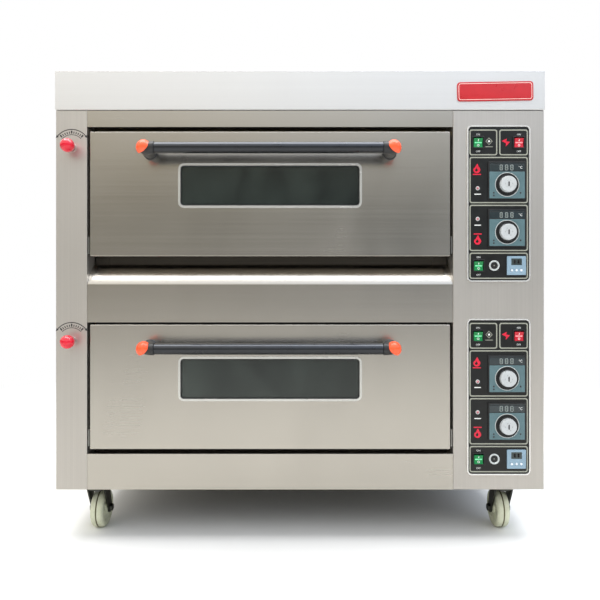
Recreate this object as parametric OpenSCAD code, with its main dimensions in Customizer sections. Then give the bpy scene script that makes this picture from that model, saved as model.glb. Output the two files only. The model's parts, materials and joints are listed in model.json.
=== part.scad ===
// Two-deck gas bakery oven on castors.
// X runs to the right seen from the front, the front faces -Y, and Z is up.
// The origin is on the floor, in the middle of the whole oven's footprint.

/* [Cabinet] */
// Width across the side panels
cabinet_w = 1246; // [1246:1:1300]
// Depth of the cabinet without handles or rear fittings
cabinet_d = 840; // [820:5:900]
// Height of the castors, which is the height of the cabinet's underside
caster_h = 135; // [135:1:150]
// Height of the header across the top
header_h = 101; // [80:1:110]
// How far the header stands out past each side
header_side = 2; // [0.5:0.5:4]
// Width of the pillar at the left
left_pillar_w = 79; // [75:1:85]
// Width of the column at the right that holds the controls
control_column_w = 232; // [225:1:245]
// Thickness of the stainless sheet
sheet = 1.5; // [1:0.1:2]

/* [Decks] */
// Height from one deck to the next
deck_pitch = 493; // [490:1:496]
// Height of the lower door's bottom edge above the floor
lower_door_z = 238; // [238:1:241]
// Height of a door
door_h = 318; // [310:1:318]
// Thickness of a door
door_t = 48; // [40:1:50]
// Gap at each side of a door
door_side_gap = 7.5; // [7:0.5:9]
// Height of a door's pivot above its bottom edge, which is also how deep the pivot lies
pivot_in = 24; // [22:1:26]
// Height inside a baking chamber
chamber_h = 222; // [200:1:225]
// Depth inside a baking chamber
chamber_d = 640; // [600:5:645]
// Width inside a baking chamber
chamber_w = 860; // [800:5:870]

/* [Door fittings] */
// Diameter of the handle bar
handle_dia = 28; // [24:1:30]
// Distance of the handle bar's axis in front of the door
handle_out = 60; // [50:1:65]
// Length of the handle over its two ends
handle_len = 650; // [600:5:700]
// Distance of the handle bar's axis below the door's top edge
handle_down = 55; // [45:1:65]
// Width of the window trim
trim_w = 469; // [420:1:500]
// Height of the window trim
trim_h = 114; // [100:1:125]
// Distance of the window trim's top below the door's top edge
trim_down = 81; // [78:1:90]

/* [Controls] */
// Width of a control panel
panel_w = 161; // [159:1:165]
// Height of a control panel
panel_h = 398; // [394:1:402]
// Distance of a control panel's left edge from the column's left edge
panel_in = 35; // [30:1:38]
// Height of a panel's top above its door's top edge
panel_up = 15; // [10:1:20]
// Side of a thermostat's square face
thermostat_side = 96; // [94:1:96]
// Side of a timer's square face
timer_side = 48; // [46:1:48]
// Diameter of a thermostat's dial
dial_dia = 47; // [40:1:50]
// Tilt of a rocker to each side of its middle, in degrees
rocker_tilt = 7; // [5:1:8]

/* [Castors] */
// Diameter of a wheel
wheel_dia = 100; // [90:1:100]
// Width of a wheel
wheel_w = 34; // [28:1:36]
// Distance of a wheel's axle behind its swivel axis
caster_trail = 30; // [25:1:32]
// Distance between the left and right wheels
wheel_track = 1084; // [1060:1:1100]

/* [Hidden] */
$fn = 64;
LOWER = 0;
UPPER = 1;
DECKS = [LOWER, UPPER];
SIDES = [-1, 1];
seam = 0.4;                 // gap that keeps neighbouring sheets apart
run = 0.05;                 // running clearance of a pin in its hole
lip = 2;                    // how far the header stands forward
elbow_r = handle_dia / 2 + 2;   // outer radius of the round elbow at a handle's corner
bar_inset = 45;             // how far the bar ends inside the handle's outer ends
cap_r = handle_dia / 2 + 6.2;   // outer radius of the domed cap on a handle's corner
cap_turn = 40;              // how far a cap faces outwards, in degrees
cap_tip = 30;               // how far a cap faces upwards, in degrees
pin_r = 5;                  // radius of a door's hinge pins
skin_d = pivot_in - 6;      // depth of a door's outer tray, which ends in front of the pins
trim_rim = 6;               // width of the bright rim round a window
hole_rim = trim_rim;        // how far the hole in the door's skin lies inside the trim's outline
liner_grow = 2;             // how much larger the hole in the door's liner is, on each side
inlet_out = 40;             // how far the gas inlet stands out at the back
strip_room = 55;            // from the upper door's top edge up to the header
total_h = lower_door_z + deck_pitch + door_h + strip_room + header_h;

// Depth positions are counted back from the front plane of the pillars, which lies at front_y.
front_y = (handle_out + cap_r - cabinet_d - inlet_out) / 2;

left_x = -cabinet_w / 2;
right_x = cabinet_w / 2;
mouth_x0 = left_x + left_pillar_w;
mouth_x1 = right_x - control_column_w;
deck_x = (mouth_x0 + mouth_x1) / 2;
door_w = mouth_x1 - mouth_x0 - 2 * door_side_gap;
header_z = total_h - header_h;
roof_z = total_h - 5;
floor_z = caster_h + 40;
return_z = floor_z + 3;     // where the folds beside the mouth begin, above the floor plate
mouth_fold = 56;            // how far the folds beside the mouth reach back
side_fold = 20;             // how far the folds beside the side panels reach back
chamber_y = 62;
gate_y = chamber_y + chamber_d + 4;
duct_y = gate_y + 7;

// The rounded ledge runs from the middle panel's top edge up and back, clear of the door's sweep.
// Its surface leans back from ledge_tilt[0] degrees at the front to ledge_tilt[1] at the back.
ledge_r = 100;
ledge_tilt = [22, 66];
mid_panel_z0 = lower_door_z + door_h + 6;
mid_panel_z1 = lower_door_z + deck_pitch - 74.5;
ledge_axis = [ledge_r * cos(ledge_tilt[0]), mid_panel_z1 - ledge_r * sin(ledge_tilt[0])];
ledge_end = ledge_axis + ledge_r * [-cos(ledge_tilt[1]), sin(ledge_tilt[1])];

// Parts of a chamber
hearth_up = 46;             // from a door's bottom edge up to its baking deck
hearth_t = 6;
lining = 1.5;
chamber_x0 = deck_x - chamber_w / 2;
chamber_x1 = deck_x + chamber_w / 2;

// Burners
burner_below = 40;          // from a baking deck's underside down to its lower burner
burner_above = 35;          // from a chamber's ceiling up to its upper burner
burner_r = 15;
feed_r = 18;
burner_pitch = 280;
burner_back_y = 675;
manifold_x = mouth_x1 + 129;
manifold_r = 17;
inlet_r = 13.2;
inlet_z = 650;
gland_z = inlet_z - 120;
gland_bore_r = 4.5;
gland_nut_r = 13;
valve_x = mouth_x1 + 69;

// Damper shaft and the port that its gate covers
damper_x = left_x + 40;
damper_up = 277;
shaft_r = 5;
knob_r = 17.5;
knob_out = 28;
port_half = 35;
port_x = damper_x + 123;
port_drop = 55;
gate_arm = norm([port_x - damper_x, port_drop]);
gate_angle = atan2(port_drop, port_x - damper_x);
duct_out = 25;

// Control panel layout, counted right and down from a panel's top left corner
panel_x = mouth_x1 + panel_in;
panel_proud = 2;
rocker_w = 23;
rocker_h = 24;
rocker_places = [[28, 43], [132, 43], [29, 357]];
rocker_hole = 1.6;          // how much larger the hole round a rocker is, on each side
thermostat_places = [[101, 140], [101, 261]];
dial_drop = 11;
lamp_places = [[27, 160], [27, 238]];
lamp_r = 4.5;
buzzer_place = [69, 357];
buzzer_r = 13.5;
timer_place = [125, 357];
face_proud = 4;             // how far the faces stand out of the membrane
button_r = 3;
button_pitch = 12;

// Castors
wheel_r = wheel_dia / 2;
swivel_x = wheel_track / 2;
front_swivel_y = 75;
rear_swivel_y = cabinet_d - 100;
axle_r = 6;
kingpin_r = 6;
fork_gap = wheel_w / 2 + 3;
fork_t = 4;
crown_z = 114;

// Heights that belong to a deck
function door_z(deck) = lower_door_z + deck * deck_pitch;
function door_top(deck) = door_z(deck) + door_h;
function pivot_z(deck) = door_z(deck) + pivot_in;
function handle_z(deck) = door_top(deck) - handle_down;
function window_z(deck) = door_top(deck) - trim_down - trim_h / 2;
function hearth_z(deck) = door_z(deck) + hearth_up;
function ceiling_z(deck) = hearth_z(deck) + chamber_h;
function burner_z(deck) = [hearth_z(deck) - hearth_t - burner_below, ceiling_z(deck) + burner_above];
function damper_z(deck) = door_z(deck) + damper_up;
function port_z(deck) = damper_z(deck) - port_drop;
function panel_top(deck) = door_top(deck) + panel_up;

// Helpers

// A box given by its limits, with depths counted from the front plane
module slab(x, y, z) {
    translate([x[0], front_y + y[0], z[0]])
        cube([x[1] - x[0], y[1] - y[0], z[1] - z[0]]);
}

// A round bar along Y, with depths counted from the front plane
module rod_y(x, z, r, y) {
    translate([x, front_y + y[0], z])
        rotate([-90, 0, 0])
            cylinder(r = r, h = y[1] - y[0]);
}

// A round bar along X at a depth behind the front plane
module rod_x(y, z, r, x) {
    translate([x[0], front_y + y, z])
        rotate([0, 90, 0])
            cylinder(r = r, h = x[1] - x[0]);
}

// A rectangle with rounded corners
module round_rectangle(w, h, r) {
    square([w - 2 * r, h], center = true);
    square([w, h - 2 * r], center = true);
    for (i = SIDES, j = SIDES)
        translate([i * (w / 2 - r), j * (h / 2 - r)])
            circle(r);
}

// A plate with rounded corners that stands upright, facing the front
module upright_plate(x, z, size, r, y) {
    translate([x, front_y + y[1], z])
        rotate([90, 0, 0])
            linear_extrude(y[1] - y[0])
                round_rectangle(size[0], size[1], r);
}

// Puts its children at a place on a deck's control panel, on the front plane
module on_panel(deck, place) {
    translate([panel_x + place[0], front_y, panel_top(deck) - place[1]])
        children();
}

// A box centred on X and Z, given by its width, height and depth limits
module face_box(w, h, y) {
    translate([-w / 2, y[0], -h / 2])
        cube([w, y[1] - y[0], h]);
}

// A round bar along Y through the local origin
module face_rod(r, y) {
    translate([0, y[0], 0])
        rotate([-90, 0, 0])
            cylinder(r = r, h = y[1] - y[0]);
}

// Cabinet

// Square tube along X or Y, given by its outer limits
module rail_x(x, y, z, wall) {
    difference() {
        slab(x, y, z);
        slab([x[0] - 1, x[1] + 1], [y[0] + wall, y[1] - wall], [z[0] + wall, z[1] - wall]);
    }
}

module rail_y(x, y, z, wall) {
    difference() {
        slab(x, y, z);
        slab([x[0] + wall, x[1] - wall], [y[0] - 1, y[1] + 1], [z[0] + wall, z[1] - wall]);
    }
}

module base_frame() {
    rail = 40;
    wall = 3;
    inset = 5;
    x = [left_x + inset, right_x - inset];
    y = [inset, cabinet_d - inset];
    plate_w = 72;
    plate_d = 96;
    plate_t = 5;
    bolt_places = [26, 38];
    bolt_r = 4.5;
    race_r = 24;
    race_z = crown_z + 5;
    color("dimgray") {
        for (y0 = [y[0], y[1] - rail])
            rail_x(x, [y0, y0 + rail], [caster_h, floor_z - seam], wall);
        for (x0 = [x[0], x[1] - rail, -rail / 2])
            rail_y([x0, x0 + rail], [y[0] + rail + seam, y[1] - rail - seam], [caster_h, floor_z - seam], wall);
        slab(x, y, [floor_z, floor_z + sheet]);
        for (side = SIDES, depth = [front_swivel_y, rear_swivel_y])
            difference() {
                slab([side * swivel_x - plate_w / 2, side * swivel_x + plate_w / 2],
                     [depth - plate_d / 2, depth + plate_d / 2],
                     [caster_h - seam - plate_t, caster_h - seam]);
                for (i = SIDES, j = SIDES)
                    translate([side * swivel_x + i * bolt_places[0], front_y + depth + j * bolt_places[1],
                               caster_h - plate_t - 1])
                        cylinder(r = bolt_r, h = plate_t + 2);
            }
        for (side = SIDES, depth = [front_swivel_y, rear_swivel_y])
            translate([side * swivel_x, front_y + depth, 0]) {
                translate([0, 0, race_z])
                    cylinder(r = race_r, h = caster_h - seam - plate_t - race_z);
                translate([0, 0, crown_z - 6])
                    cylinder(r = kingpin_r, h = 20);
                translate([0, 0, crown_z - 8])
                    cylinder(r = kingpin_r + 4, h = 6);
            }
    }
}

module side_panels() {
    slot_up = 40;
    slot_h = 6;
    slot_pitch = 28;
    slot_y = [cabinet_d - 240, cabinet_d - 100];
    color("silver")
        for (side = SIDES)
            difference() {
                slab(side < 0 ? [left_x, left_x + sheet] : [right_x - sheet, right_x],
                     [side_fold + seam, cabinet_d], [caster_h, roof_z]);
                if (side > 0)
                    for (row = [0 : 7], deck = DECKS)
                        translate([0, 0, door_z(deck) + slot_up + row * slot_pitch])
                            slab([right_x - sheet - 1, right_x + 1], slot_y, [0, slot_h]);
            }
}

// The back: a flue strip in three sheets round the two ports, a plain sheet beside it, and a
// louvred sheet through which the gas inlet and the mains lead come
module rear_panel() {
    y = [cabinet_d - sheet, cabinet_d];
    through = [y[0] - 1, y[1] + 1];
    z = [caster_h, roof_z - sheet - seam];
    port_gap = port_half + 3;
    strip_x = [port_x - port_gap, port_x + port_gap];
    slot_w = 120;
    slot_h = 6;
    slot_pitch = [180, 24];
    louvre_x = deck_x + 60;
    louvre_up = 63;
    gland_r = 7.7;
    color("silver") {
        slab([left_x + sheet + seam, strip_x[0] - seam], y, z);
        slab(strip_x, y, [z[0], port_z(LOWER) - port_gap]);
        slab(strip_x, y, [port_z(LOWER) + port_gap, port_z(UPPER) - port_gap]);
        slab(strip_x, y, [port_z(UPPER) + port_gap, z[1]]);
        difference() {
            slab([strip_x[1] + seam, right_x - sheet - seam], y, z);
            rod_y(manifold_x, inlet_z, inlet_r + 2, through);
            rod_y(manifold_x, gland_z, gland_r + 0.3, through);
            for (deck = DECKS, row = [0 : 6], column = [-1 : 1])
                translate([louvre_x + column * slot_pitch[0], front_y + y[0],
                           door_z(deck) + louvre_up + row * slot_pitch[1]])
                    cube([slot_w, 3 * sheet, slot_h], center = true);
        }
        // Cable gland with a bore for the mains lead
        difference() {
            union() {
                rod_y(manifold_x, gland_z, gland_r, [y[0] - 12, y[1] + 18]);
                translate([manifold_x, front_y + y[1] + 7.3, gland_z])
                    rotate([90, 0, 0])
                        cylinder(r = gland_nut_r, h = 7, $fn = 6);
                translate([manifold_x, front_y + y[0] - 0.3, gland_z])
                    rotate([90, 0, 0])
                        cylinder(r = gland_nut_r, h = 5, $fn = 6);
            }
            rod_y(manifold_x, gland_z, gland_bore_r, [y[0] - 13, y[1] + 19]);
        }
    }
}

module roof_panel() {
    color("silver")
        slab([left_x + sheet + seam, right_x - sheet - seam], [32, cabinet_d - seam], [roof_z - sheet, roof_z]);
}

module header_fascia() {
    w = cabinet_w / 2 + header_side;
    z = [header_z + seam, total_h];
    top_fold = 30;
    bottom_fold = 14;
    color("gainsboro") {
        slab([-w, w], [-lip, -lip + sheet], z);
        slab([-w, w], [-lip, top_fold], [z[1] - sheet, z[1]]);
        slab([-w, w], [-lip, bottom_fold], [z[0], z[0] + sheet]);
        for (side = SIDES)
            slab(side < 0 ? [-w, -w + sheet] : [w - sheet, w], [-lip, side_fold - 1], z);
    }
}

module left_pillar() {
    z = [caster_h, header_z - 1];
    boss_r = 12;
    color("silver")
        difference() {
            union() {
                slab([left_x, mouth_x0], [0, sheet], z);
                slab([left_x, left_x + sheet], [0, side_fold], z);
                slab([mouth_x0 - sheet, mouth_x0], [0, mouth_fold], [return_z, z[1]]);
                for (deck = DECKS)
                    rod_y(damper_x, damper_z(deck), boss_r, [-3, 10]);
            }
            for (deck = DECKS)
                rod_y(damper_x, damper_z(deck), shaft_r + run, [-4, 11]);
        }
}

module control_column() {
    z = [caster_h, header_z - 1];
    margin = 6;
    color("silver")
        difference() {
            union() {
                slab([mouth_x1, right_x], [0, sheet], z);
                slab([right_x - sheet, right_x], [0, side_fold], z);
                slab([mouth_x1, mouth_x1 + sheet], [0, mouth_fold], [return_z, z[1]]);
            }
            for (deck = DECKS)
                slab([panel_x + margin, panel_x + panel_w - margin], [-1, sheet + 1],
                     [panel_top(deck) - panel_h + margin, panel_top(deck) - margin]);
        }
}

// A strip of sheet across the oven's mouth, with its bottom and top edges folded back
module front_strip(z, fold) {
    x = [mouth_x0 + seam, mouth_x1 - seam];
    slab(x, [0, sheet], z);
    slab(x, [0, fold[0]], [z[0], z[0] + sheet]);
    slab(x, [0, fold[1]], [z[1] - sheet, z[1]]);
}

module front_rails() {
    x = [mouth_x0 + seam, mouth_x1 - seam];
    color("silver") {
        front_strip([door_top(UPPER) + 12, header_z - 1], [40, 12]);
        front_strip([caster_h, lower_door_z - 12], [4, 40]);
        // Middle panel and the rounded ledge above it, bent from one sheet
        slab(x, [0, sheet], [mid_panel_z0, mid_panel_z1]);
        slab(x, [0, 30], [mid_panel_z0, mid_panel_z0 + sheet]);
        slab(x, [ledge_end[0], chamber_y - 3], [ledge_end[1] - sheet, ledge_end[1]]);
        intersection() {
            difference() {
                rod_x(ledge_axis[0], ledge_axis[1], ledge_r, x);
                rod_x(ledge_axis[0], ledge_axis[1], ledge_r - sheet, [x[0] - 1, x[1] + 1]);
            }
            translate([x[0] - 1, front_y + ledge_axis[0], ledge_axis[1]])
                rotate([90, 0, 90])
                    linear_extrude(x[1] - x[0] + 2)
                        polygon([
                            [0, 0],
                            for (tilt = [ledge_tilt[0] : 22 : ledge_tilt[1]])
                                2 * ledge_r * [-cos(tilt), sin(tilt)]
                        ]);
        }
    }
}

module name_plate() {
    plate_w = 195;
    plate_h = 50;
    plate_t = 2;
    plate_in = 125.5;
    plate_up = 47;
    plate_turn = -1;
    color("firebrick")
        translate([right_x - plate_in, front_y - lip - seam, header_z + plate_up])
            rotate([90, plate_turn, 0])
                linear_extrude(plate_t)
                    round_rectangle(plate_w, plate_h, 8);
}

// Baking chambers

module chamber_linings() {
    y = [chamber_y, chamber_y + chamber_d];
    face_below = 22;
    face_above = 8;
    color("gray")
        for (deck = DECKS) {
            z = [hearth_z(deck), ceiling_z(deck)];
            outer_x = [mouth_x0 + 1, mouth_x1 - 1];
            outer_z = [door_z(deck) - face_below, door_top(deck) + face_above];
            // Side walls and ceiling
            slab([chamber_x0 - lining, chamber_x0], y, z);
            slab([chamber_x1, chamber_x1 + lining], y, z);
            slab([chamber_x0 - lining, chamber_x1 + lining], y, [z[1] + seam, z[1] + seam + lining]);
            // Back wall in four pieces round the flue port
            back = [y[1] + seam, y[1] + seam + lining];
            port_x0 = port_x - port_half;
            port_x1 = port_x + port_half;
            port_z0 = port_z(deck) - port_half;
            port_z1 = port_z(deck) + port_half;
            slab([chamber_x0 - lining, port_x0 - seam], back, z);
            slab([port_x1 + seam, chamber_x1 + lining], back, z);
            slab([port_x0, port_x1], back, [z[0], port_z0]);
            slab([port_x0, port_x1], back, [port_z1, z[1]]);
            // Face frame round the mouth
            face = [y[0] - seam - lining, y[0] - seam];
            slab([outer_x[0], chamber_x0 - seam], face, outer_z);
            slab([chamber_x1 + seam, outer_x[1]], face, outer_z);
            slab([chamber_x0, chamber_x1], face, [outer_z[0], z[0] - hearth_t]);
            slab([chamber_x0, chamber_x1], face, [z[1], outer_z[1]]);
            // Raised rim that the closed door meets, above the door's sweep
            rim_w = 12;
            rim = [door_t + 2, face[0] - seam];
            rim_z = [pivot_z(deck) + 38, z[1] + rim_w];
            slab([chamber_x0 - rim_w, chamber_x0], rim, rim_z);
            slab([chamber_x1, chamber_x1 + rim_w], rim, rim_z);
            slab([chamber_x0 + seam, chamber_x1 - seam], rim, [z[1], rim_z[1]]);
        }
}

module baking_decks() {
    color("dimgray")
        for (deck = DECKS)
            slab([chamber_x0 + 1, chamber_x1 - 1], [chamber_y, chamber_y + chamber_d - 1],
                 [hearth_z(deck) - hearth_t, hearth_z(deck)]);
}

module insulation() {
    y = [chamber_y + 4, 640];
    x = [chamber_x0 - 48, mouth_x1 - 3];
    top_t = 50;
    color("wheat")
        for (deck = DECKS) {
            z = [hearth_z(deck) + 2, ceiling_z(deck) + 54];
            slab([x[0], chamber_x0 - lining - 1], y, z);
            slab([chamber_x1 + lining + 1, x[1]], y, z);
            slab(x, y, [z[1] + 1, z[1] + 1 + top_t]);
        }
}

// Burners and gas

module burners() {
    y = [90, burner_back_y];
    block = 24;
    block_x = deck_x + 20;
    block_y = 100;
    color("slategray")
        for (deck = DECKS, z = burner_z(deck)) {
            for (i = [-1 : 1])
                rod_y(deck_x + i * burner_pitch, z, burner_r, y);
            rod_x(burner_back_y, z, feed_r, [deck_x - burner_pitch - feed_r, mouth_x1 + 8]);
            // Igniter block with its spark rod beside the middle tube
            slab([block_x, block_x + block], [block_y, block_y + block], [z - block / 4, z + block / 4]);
            rod_x(block_y + block / 2, z, 1.5, [deck_x + burner_r + 0.5, block_x]);
        }
}

module gas_train() {
    past = 40;
    branch_r = 10;
    valve = 25;
    valve_top = 45;
    color("goldenrod") {
        translate([manifold_x, front_y + burner_back_y, burner_z(LOWER)[0] - past])
            cylinder(r = manifold_r, h = burner_z(UPPER)[1] - burner_z(LOWER)[0] + 2 * past);
        rod_y(manifold_x, inlet_z, inlet_r - 1.5, [burner_back_y, cabinet_d + 5]);
        rod_y(manifold_x, inlet_z, inlet_r, [cabinet_d + 4, cabinet_d + inlet_out]);
        for (deck = DECKS, z = burner_z(deck)) {
            rod_x(burner_back_y, z, branch_r, [valve_x + valve + 1, manifold_x]);
            rod_x(burner_back_y, z, branch_r, [mouth_x1 + 9, valve_x - valve - 1]);
            slab([valve_x - valve, valve_x + valve], [burner_back_y - valve, burner_back_y + valve],
                 [z - valve, z + valve_top]);
        }
    }
}

module flue_ducts() {
    wall = 1.5;
    y = [duct_y, cabinet_d + duct_out];
    color("gray")
        for (deck = DECKS) {
            x = [port_x - port_half, port_x + port_half];
            z = [port_z(deck) - port_half, port_z(deck) + port_half];
            for (side = [x[0] - wall, x[1]])
                slab([side, side + wall], y, z);
            for (side = [z[0] - wall - seam, z[1] + seam])
                slab([x[0] - wall, x[1] + wall], y, [side, side + wall]);
        }
}

// Controls

// The housing of one rocker switch: a box behind the panel that is open at the front
module rocker_housing() {
    w = rocker_w + 2 * rocker_hole;
    h = rocker_h + 2 * rocker_hole;
    difference() {
        face_box(w + 4, h + 4, [-panel_proud - 2, 30]);
        face_box(w, h, [-panel_proud - 3, 27]);
        translate([0, 6, 0])
            rotate([0, 90, 0])
                cylinder(r = 2 + run, h = w + 5, center = true);
    }
}

module control_panels() {
    edge = 3.5;
    module membrane(deck) {
        difference() {
            upright_plate(panel_x + panel_w / 2, panel_top(deck) - panel_h / 2,
                          [panel_w - 2 * edge, panel_h - 2 * edge], 9, [-panel_proud, -seam]);
            for (place = rocker_places)
                on_panel(deck, place)
                    face_box(rocker_w + 2 * rocker_hole + 2, rocker_h + 2 * rocker_hole + 2, [-5, 5]);
            for (place = thermostat_places)
                on_panel(deck, place)
                    face_box(thermostat_side - 6, thermostat_side - 6, [-5, 5]);
            for (place = lamp_places)
                on_panel(deck, place)
                    face_rod(lamp_r + 0.4, [-5, 5]);
            on_panel(deck, buzzer_place)
                face_rod(buzzer_r - 2, [-5, 5]);
            on_panel(deck, timer_place)
                face_box(timer_side - 4, timer_side - 4, [-5, 5]);
        }
    }
    color([0.13, 0.15, 0.15])
        for (deck = DECKS) {
            membrane(deck);
            for (place = rocker_places)
                on_panel(deck, place)
                    rocker_housing();
        }
}

module panel_bezels() {
    rim = 3;
    corner_r = 12;
    color("lightgray")
        for (deck = DECKS)
            difference() {
                upright_plate(panel_x + panel_w / 2, panel_top(deck) - panel_h / 2,
                              [panel_w, panel_h], corner_r, [-4, -seam]);
                upright_plate(panel_x + panel_w / 2, panel_top(deck) - panel_h / 2,
                              [panel_w - 2 * rim, panel_h - 2 * rim], corner_r - rim, [-5, 1]);
            }
}

module thermostats() {
    display_w = 52;
    display_h = 15;
    display_drop = 15.5;
    color("cadetblue")
        for (deck = DECKS, place = thermostat_places)
            on_panel(deck, place)
                difference() {
                    union() {
                        face_box(thermostat_side, thermostat_side, [-panel_proud - face_proud, -panel_proud - seam]);
                        face_box(thermostat_side - 8, thermostat_side - 8, [-panel_proud - seam, 75]);
                    }
                    translate([0, 0, thermostat_side / 2 - display_drop])
                        face_box(display_w, display_h, [-panel_proud - face_proud - 1, -panel_proud - face_proud + 1]);
                    translate([0, 0, -dial_drop])
                        face_rod(3 + run, [-panel_proud - face_proud - 1, 20]);
                }
}

module timers_and_alarms() {
    face_y = -panel_proud - face_proud + 1;
    color("lightsteelblue")
        for (deck = DECKS) {
            // Timer with a display and three button holes
            on_panel(deck, timer_place)
                difference() {
                    union() {
                        face_box(timer_side, timer_side, [face_y, -panel_proud - seam]);
                        face_box(timer_side - 6, timer_side - 6, [-panel_proud - seam, 60]);
                    }
                    translate([0, 0, 10])
                        face_box(36, 16, [face_y - 1, face_y + 1]);
                    for (i = [-1 : 1])
                        translate([i * button_pitch, 0, -12])
                            face_rod(button_r + 0.35, [face_y - 1, 10]);
                }
            // Buzzer: a ring with a sunk middle, and its body behind the panel
            on_panel(deck, buzzer_place)
                difference() {
                    union() {
                        face_rod(buzzer_r, [-panel_proud - 3, -panel_proud - seam]);
                        face_rod(buzzer_r - 2.5, [-panel_proud - seam, 28]);
                    }
                    face_rod(buzzer_r - 4, [-panel_proud - 4, -panel_proud - 1]);
                }
            // Warning lamps with domed lenses
            for (place = lamp_places)
                on_panel(deck, place) {
                    face_rod(lamp_r, [-panel_proud - 0.5, 20]);
                    intersection() {
                        translate([0, -panel_proud + 1.5, 0])
                            sphere(lamp_r + 0.5);
                        face_rod(lamp_r, [-panel_proud - 5, -panel_proud - 0.5]);
                    }
                }
        }
}

// A rocker with its two pivot stubs, drawn with its lower half pressed in
module rocker(deck, place) {
    stub = rocker_w / 2 + rocker_hole + 1.5;
    on_panel(deck, place)
        translate([0, 6, 0])
            rotate([rocker_tilt, 0, 0]) {
                rotate([90, 0, 90])
                    linear_extrude(rocker_w, center = true)
                        polygon([[4, 6], [4, -6], [-9, -rocker_h / 2], [-12.5, -rocker_h / 2],
                                 [-9.5, 0], [-12.5, rocker_h / 2], [-9, rocker_h / 2]]);
                rotate([0, 90, 0])
                    cylinder(r = 2, h = 2 * stub, center = true);
            }
}

module green_rocker(deck, place) {
    color([0.1, 0.65, 0.35])
        rocker(deck, place);
}

module red_rocker(deck, place) {
    color([0.85, 0.16, 0.24])
        rocker(deck, place);
}

// A dial with a skirt, a waisted grip and a pointer notch, on a shaft that runs in its thermostat
module heat_dial(deck, place) {
    r = dial_dia / 2;
    skirt_t = 3;
    grip_t = 13;
    back = 0.8;
    color("gainsboro")
        on_panel(deck, place)
            translate([0, -panel_proud - face_proud - back, -dial_drop])
                difference() {
                    rotate([90, 0, 0]) {
                        rotate_extrude()
                            polygon([
                                [0, 0], [r, 0], [r, skirt_t - 1], [r - 1, skirt_t], [r - 5, skirt_t + 0.6],
                                [r - 6.5, grip_t - 1.5], [r - 8, grip_t], [0, grip_t]
                            ]);
                        translate([0, 0, -16])
                            cylinder(r = 3, h = 16);
                    }
                    translate([-0.8, -grip_t - 1, r - 18])
                        cube([1.6, 1.6, 12]);
                }
}

module timer_button(deck, index) {
    face_y = -panel_proud - face_proud + 1;
    color("whitesmoke")
        on_panel(deck, timer_place)
            translate([(index - 2) * button_pitch, 0, -12])
                face_rod(button_r, [face_y - 2, 6]);
}

// Doors

// The hole for a window, larger by grow on every side
module window_hole(deck, grow) {
    size = [trim_w - 2 * hole_rim + 2 * grow, trim_h - 2 * hole_rim + 2 * grow];
    upright_plate(deck_x, window_z(deck), size, 9, [-5, door_t + 5]);
}

module door_skin(deck) {
    x = [deck_x - door_w / 2, deck_x + door_w / 2];
    z = [door_z(deck), door_top(deck)];
    color("silver")
        difference() {
            slab(x, [0, skin_d], z);
            slab([x[0] + sheet, x[1] - sheet], [sheet, skin_d + 1], [z[0] + sheet, z[1] - sheet]);
            window_hole(deck, 0);
        }
}

module door_liner(deck) {
    x = [deck_x - door_w / 2, deck_x + door_w / 2];
    z = [door_z(deck), door_top(deck)];
    front = skin_d + seam;
    block_w = 26;
    block_h = 44;
    color("gray")
        difference() {
            union() {
                difference() {
                    slab(x, [front, door_t], z);
                    slab([x[0] + sheet, x[1] - sheet], [front - 1, door_t - sheet], [z[0] + sheet, z[1] - sheet]);
                }
                // Hinge blocks in the two bottom corners
                for (x0 = [x[0], x[1] - block_w])
                    slab([x0, x0 + block_w], [front, door_t - 0.5], [z[0], z[0] + block_h]);
            }
            window_hole(deck, liner_grow);
            rod_x(pivot_in, pivot_z(deck), pin_r + run, [x[0] - 1, x[1] + 1]);
        }
}

module window_glass(deck) {
    pane_t = 4;
    outer = [trim_w - 4, trim_h - 4];
    shrink = 2 * (hole_rim - liner_grow + seam);
    inner = [trim_w - shrink, trim_h - shrink];
    color([0.45, 0.5, 0.45, 0.5]) {
        upright_plate(deck_x, window_z(deck), outer, 8, [sheet + seam, sheet + seam + pane_t]);
        upright_plate(deck_x, window_z(deck), inner, 9, [door_t - pane_t - 2, door_t - 2]);
    }
}

module window_trim(deck) {
    outer_r = 15;
    color("gainsboro")
        difference() {
            upright_plate(deck_x, window_z(deck), [trim_w, trim_h], outer_r, [-2.5, -seam / 2]);
            upright_plate(deck_x, window_z(deck), [trim_w - 2 * trim_rim, trim_h - 2 * trim_rim],
                          outer_r - trim_rim, [-4, 1]);
        }
}

module handle_bar(deck) {
    half = handle_len / 2 - bar_inset;
    color([0.2, 0.21, 0.22])
        rod_x(-handle_out, handle_z(deck), handle_dia / 2, [deck_x - half, deck_x + half]);
}

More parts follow.
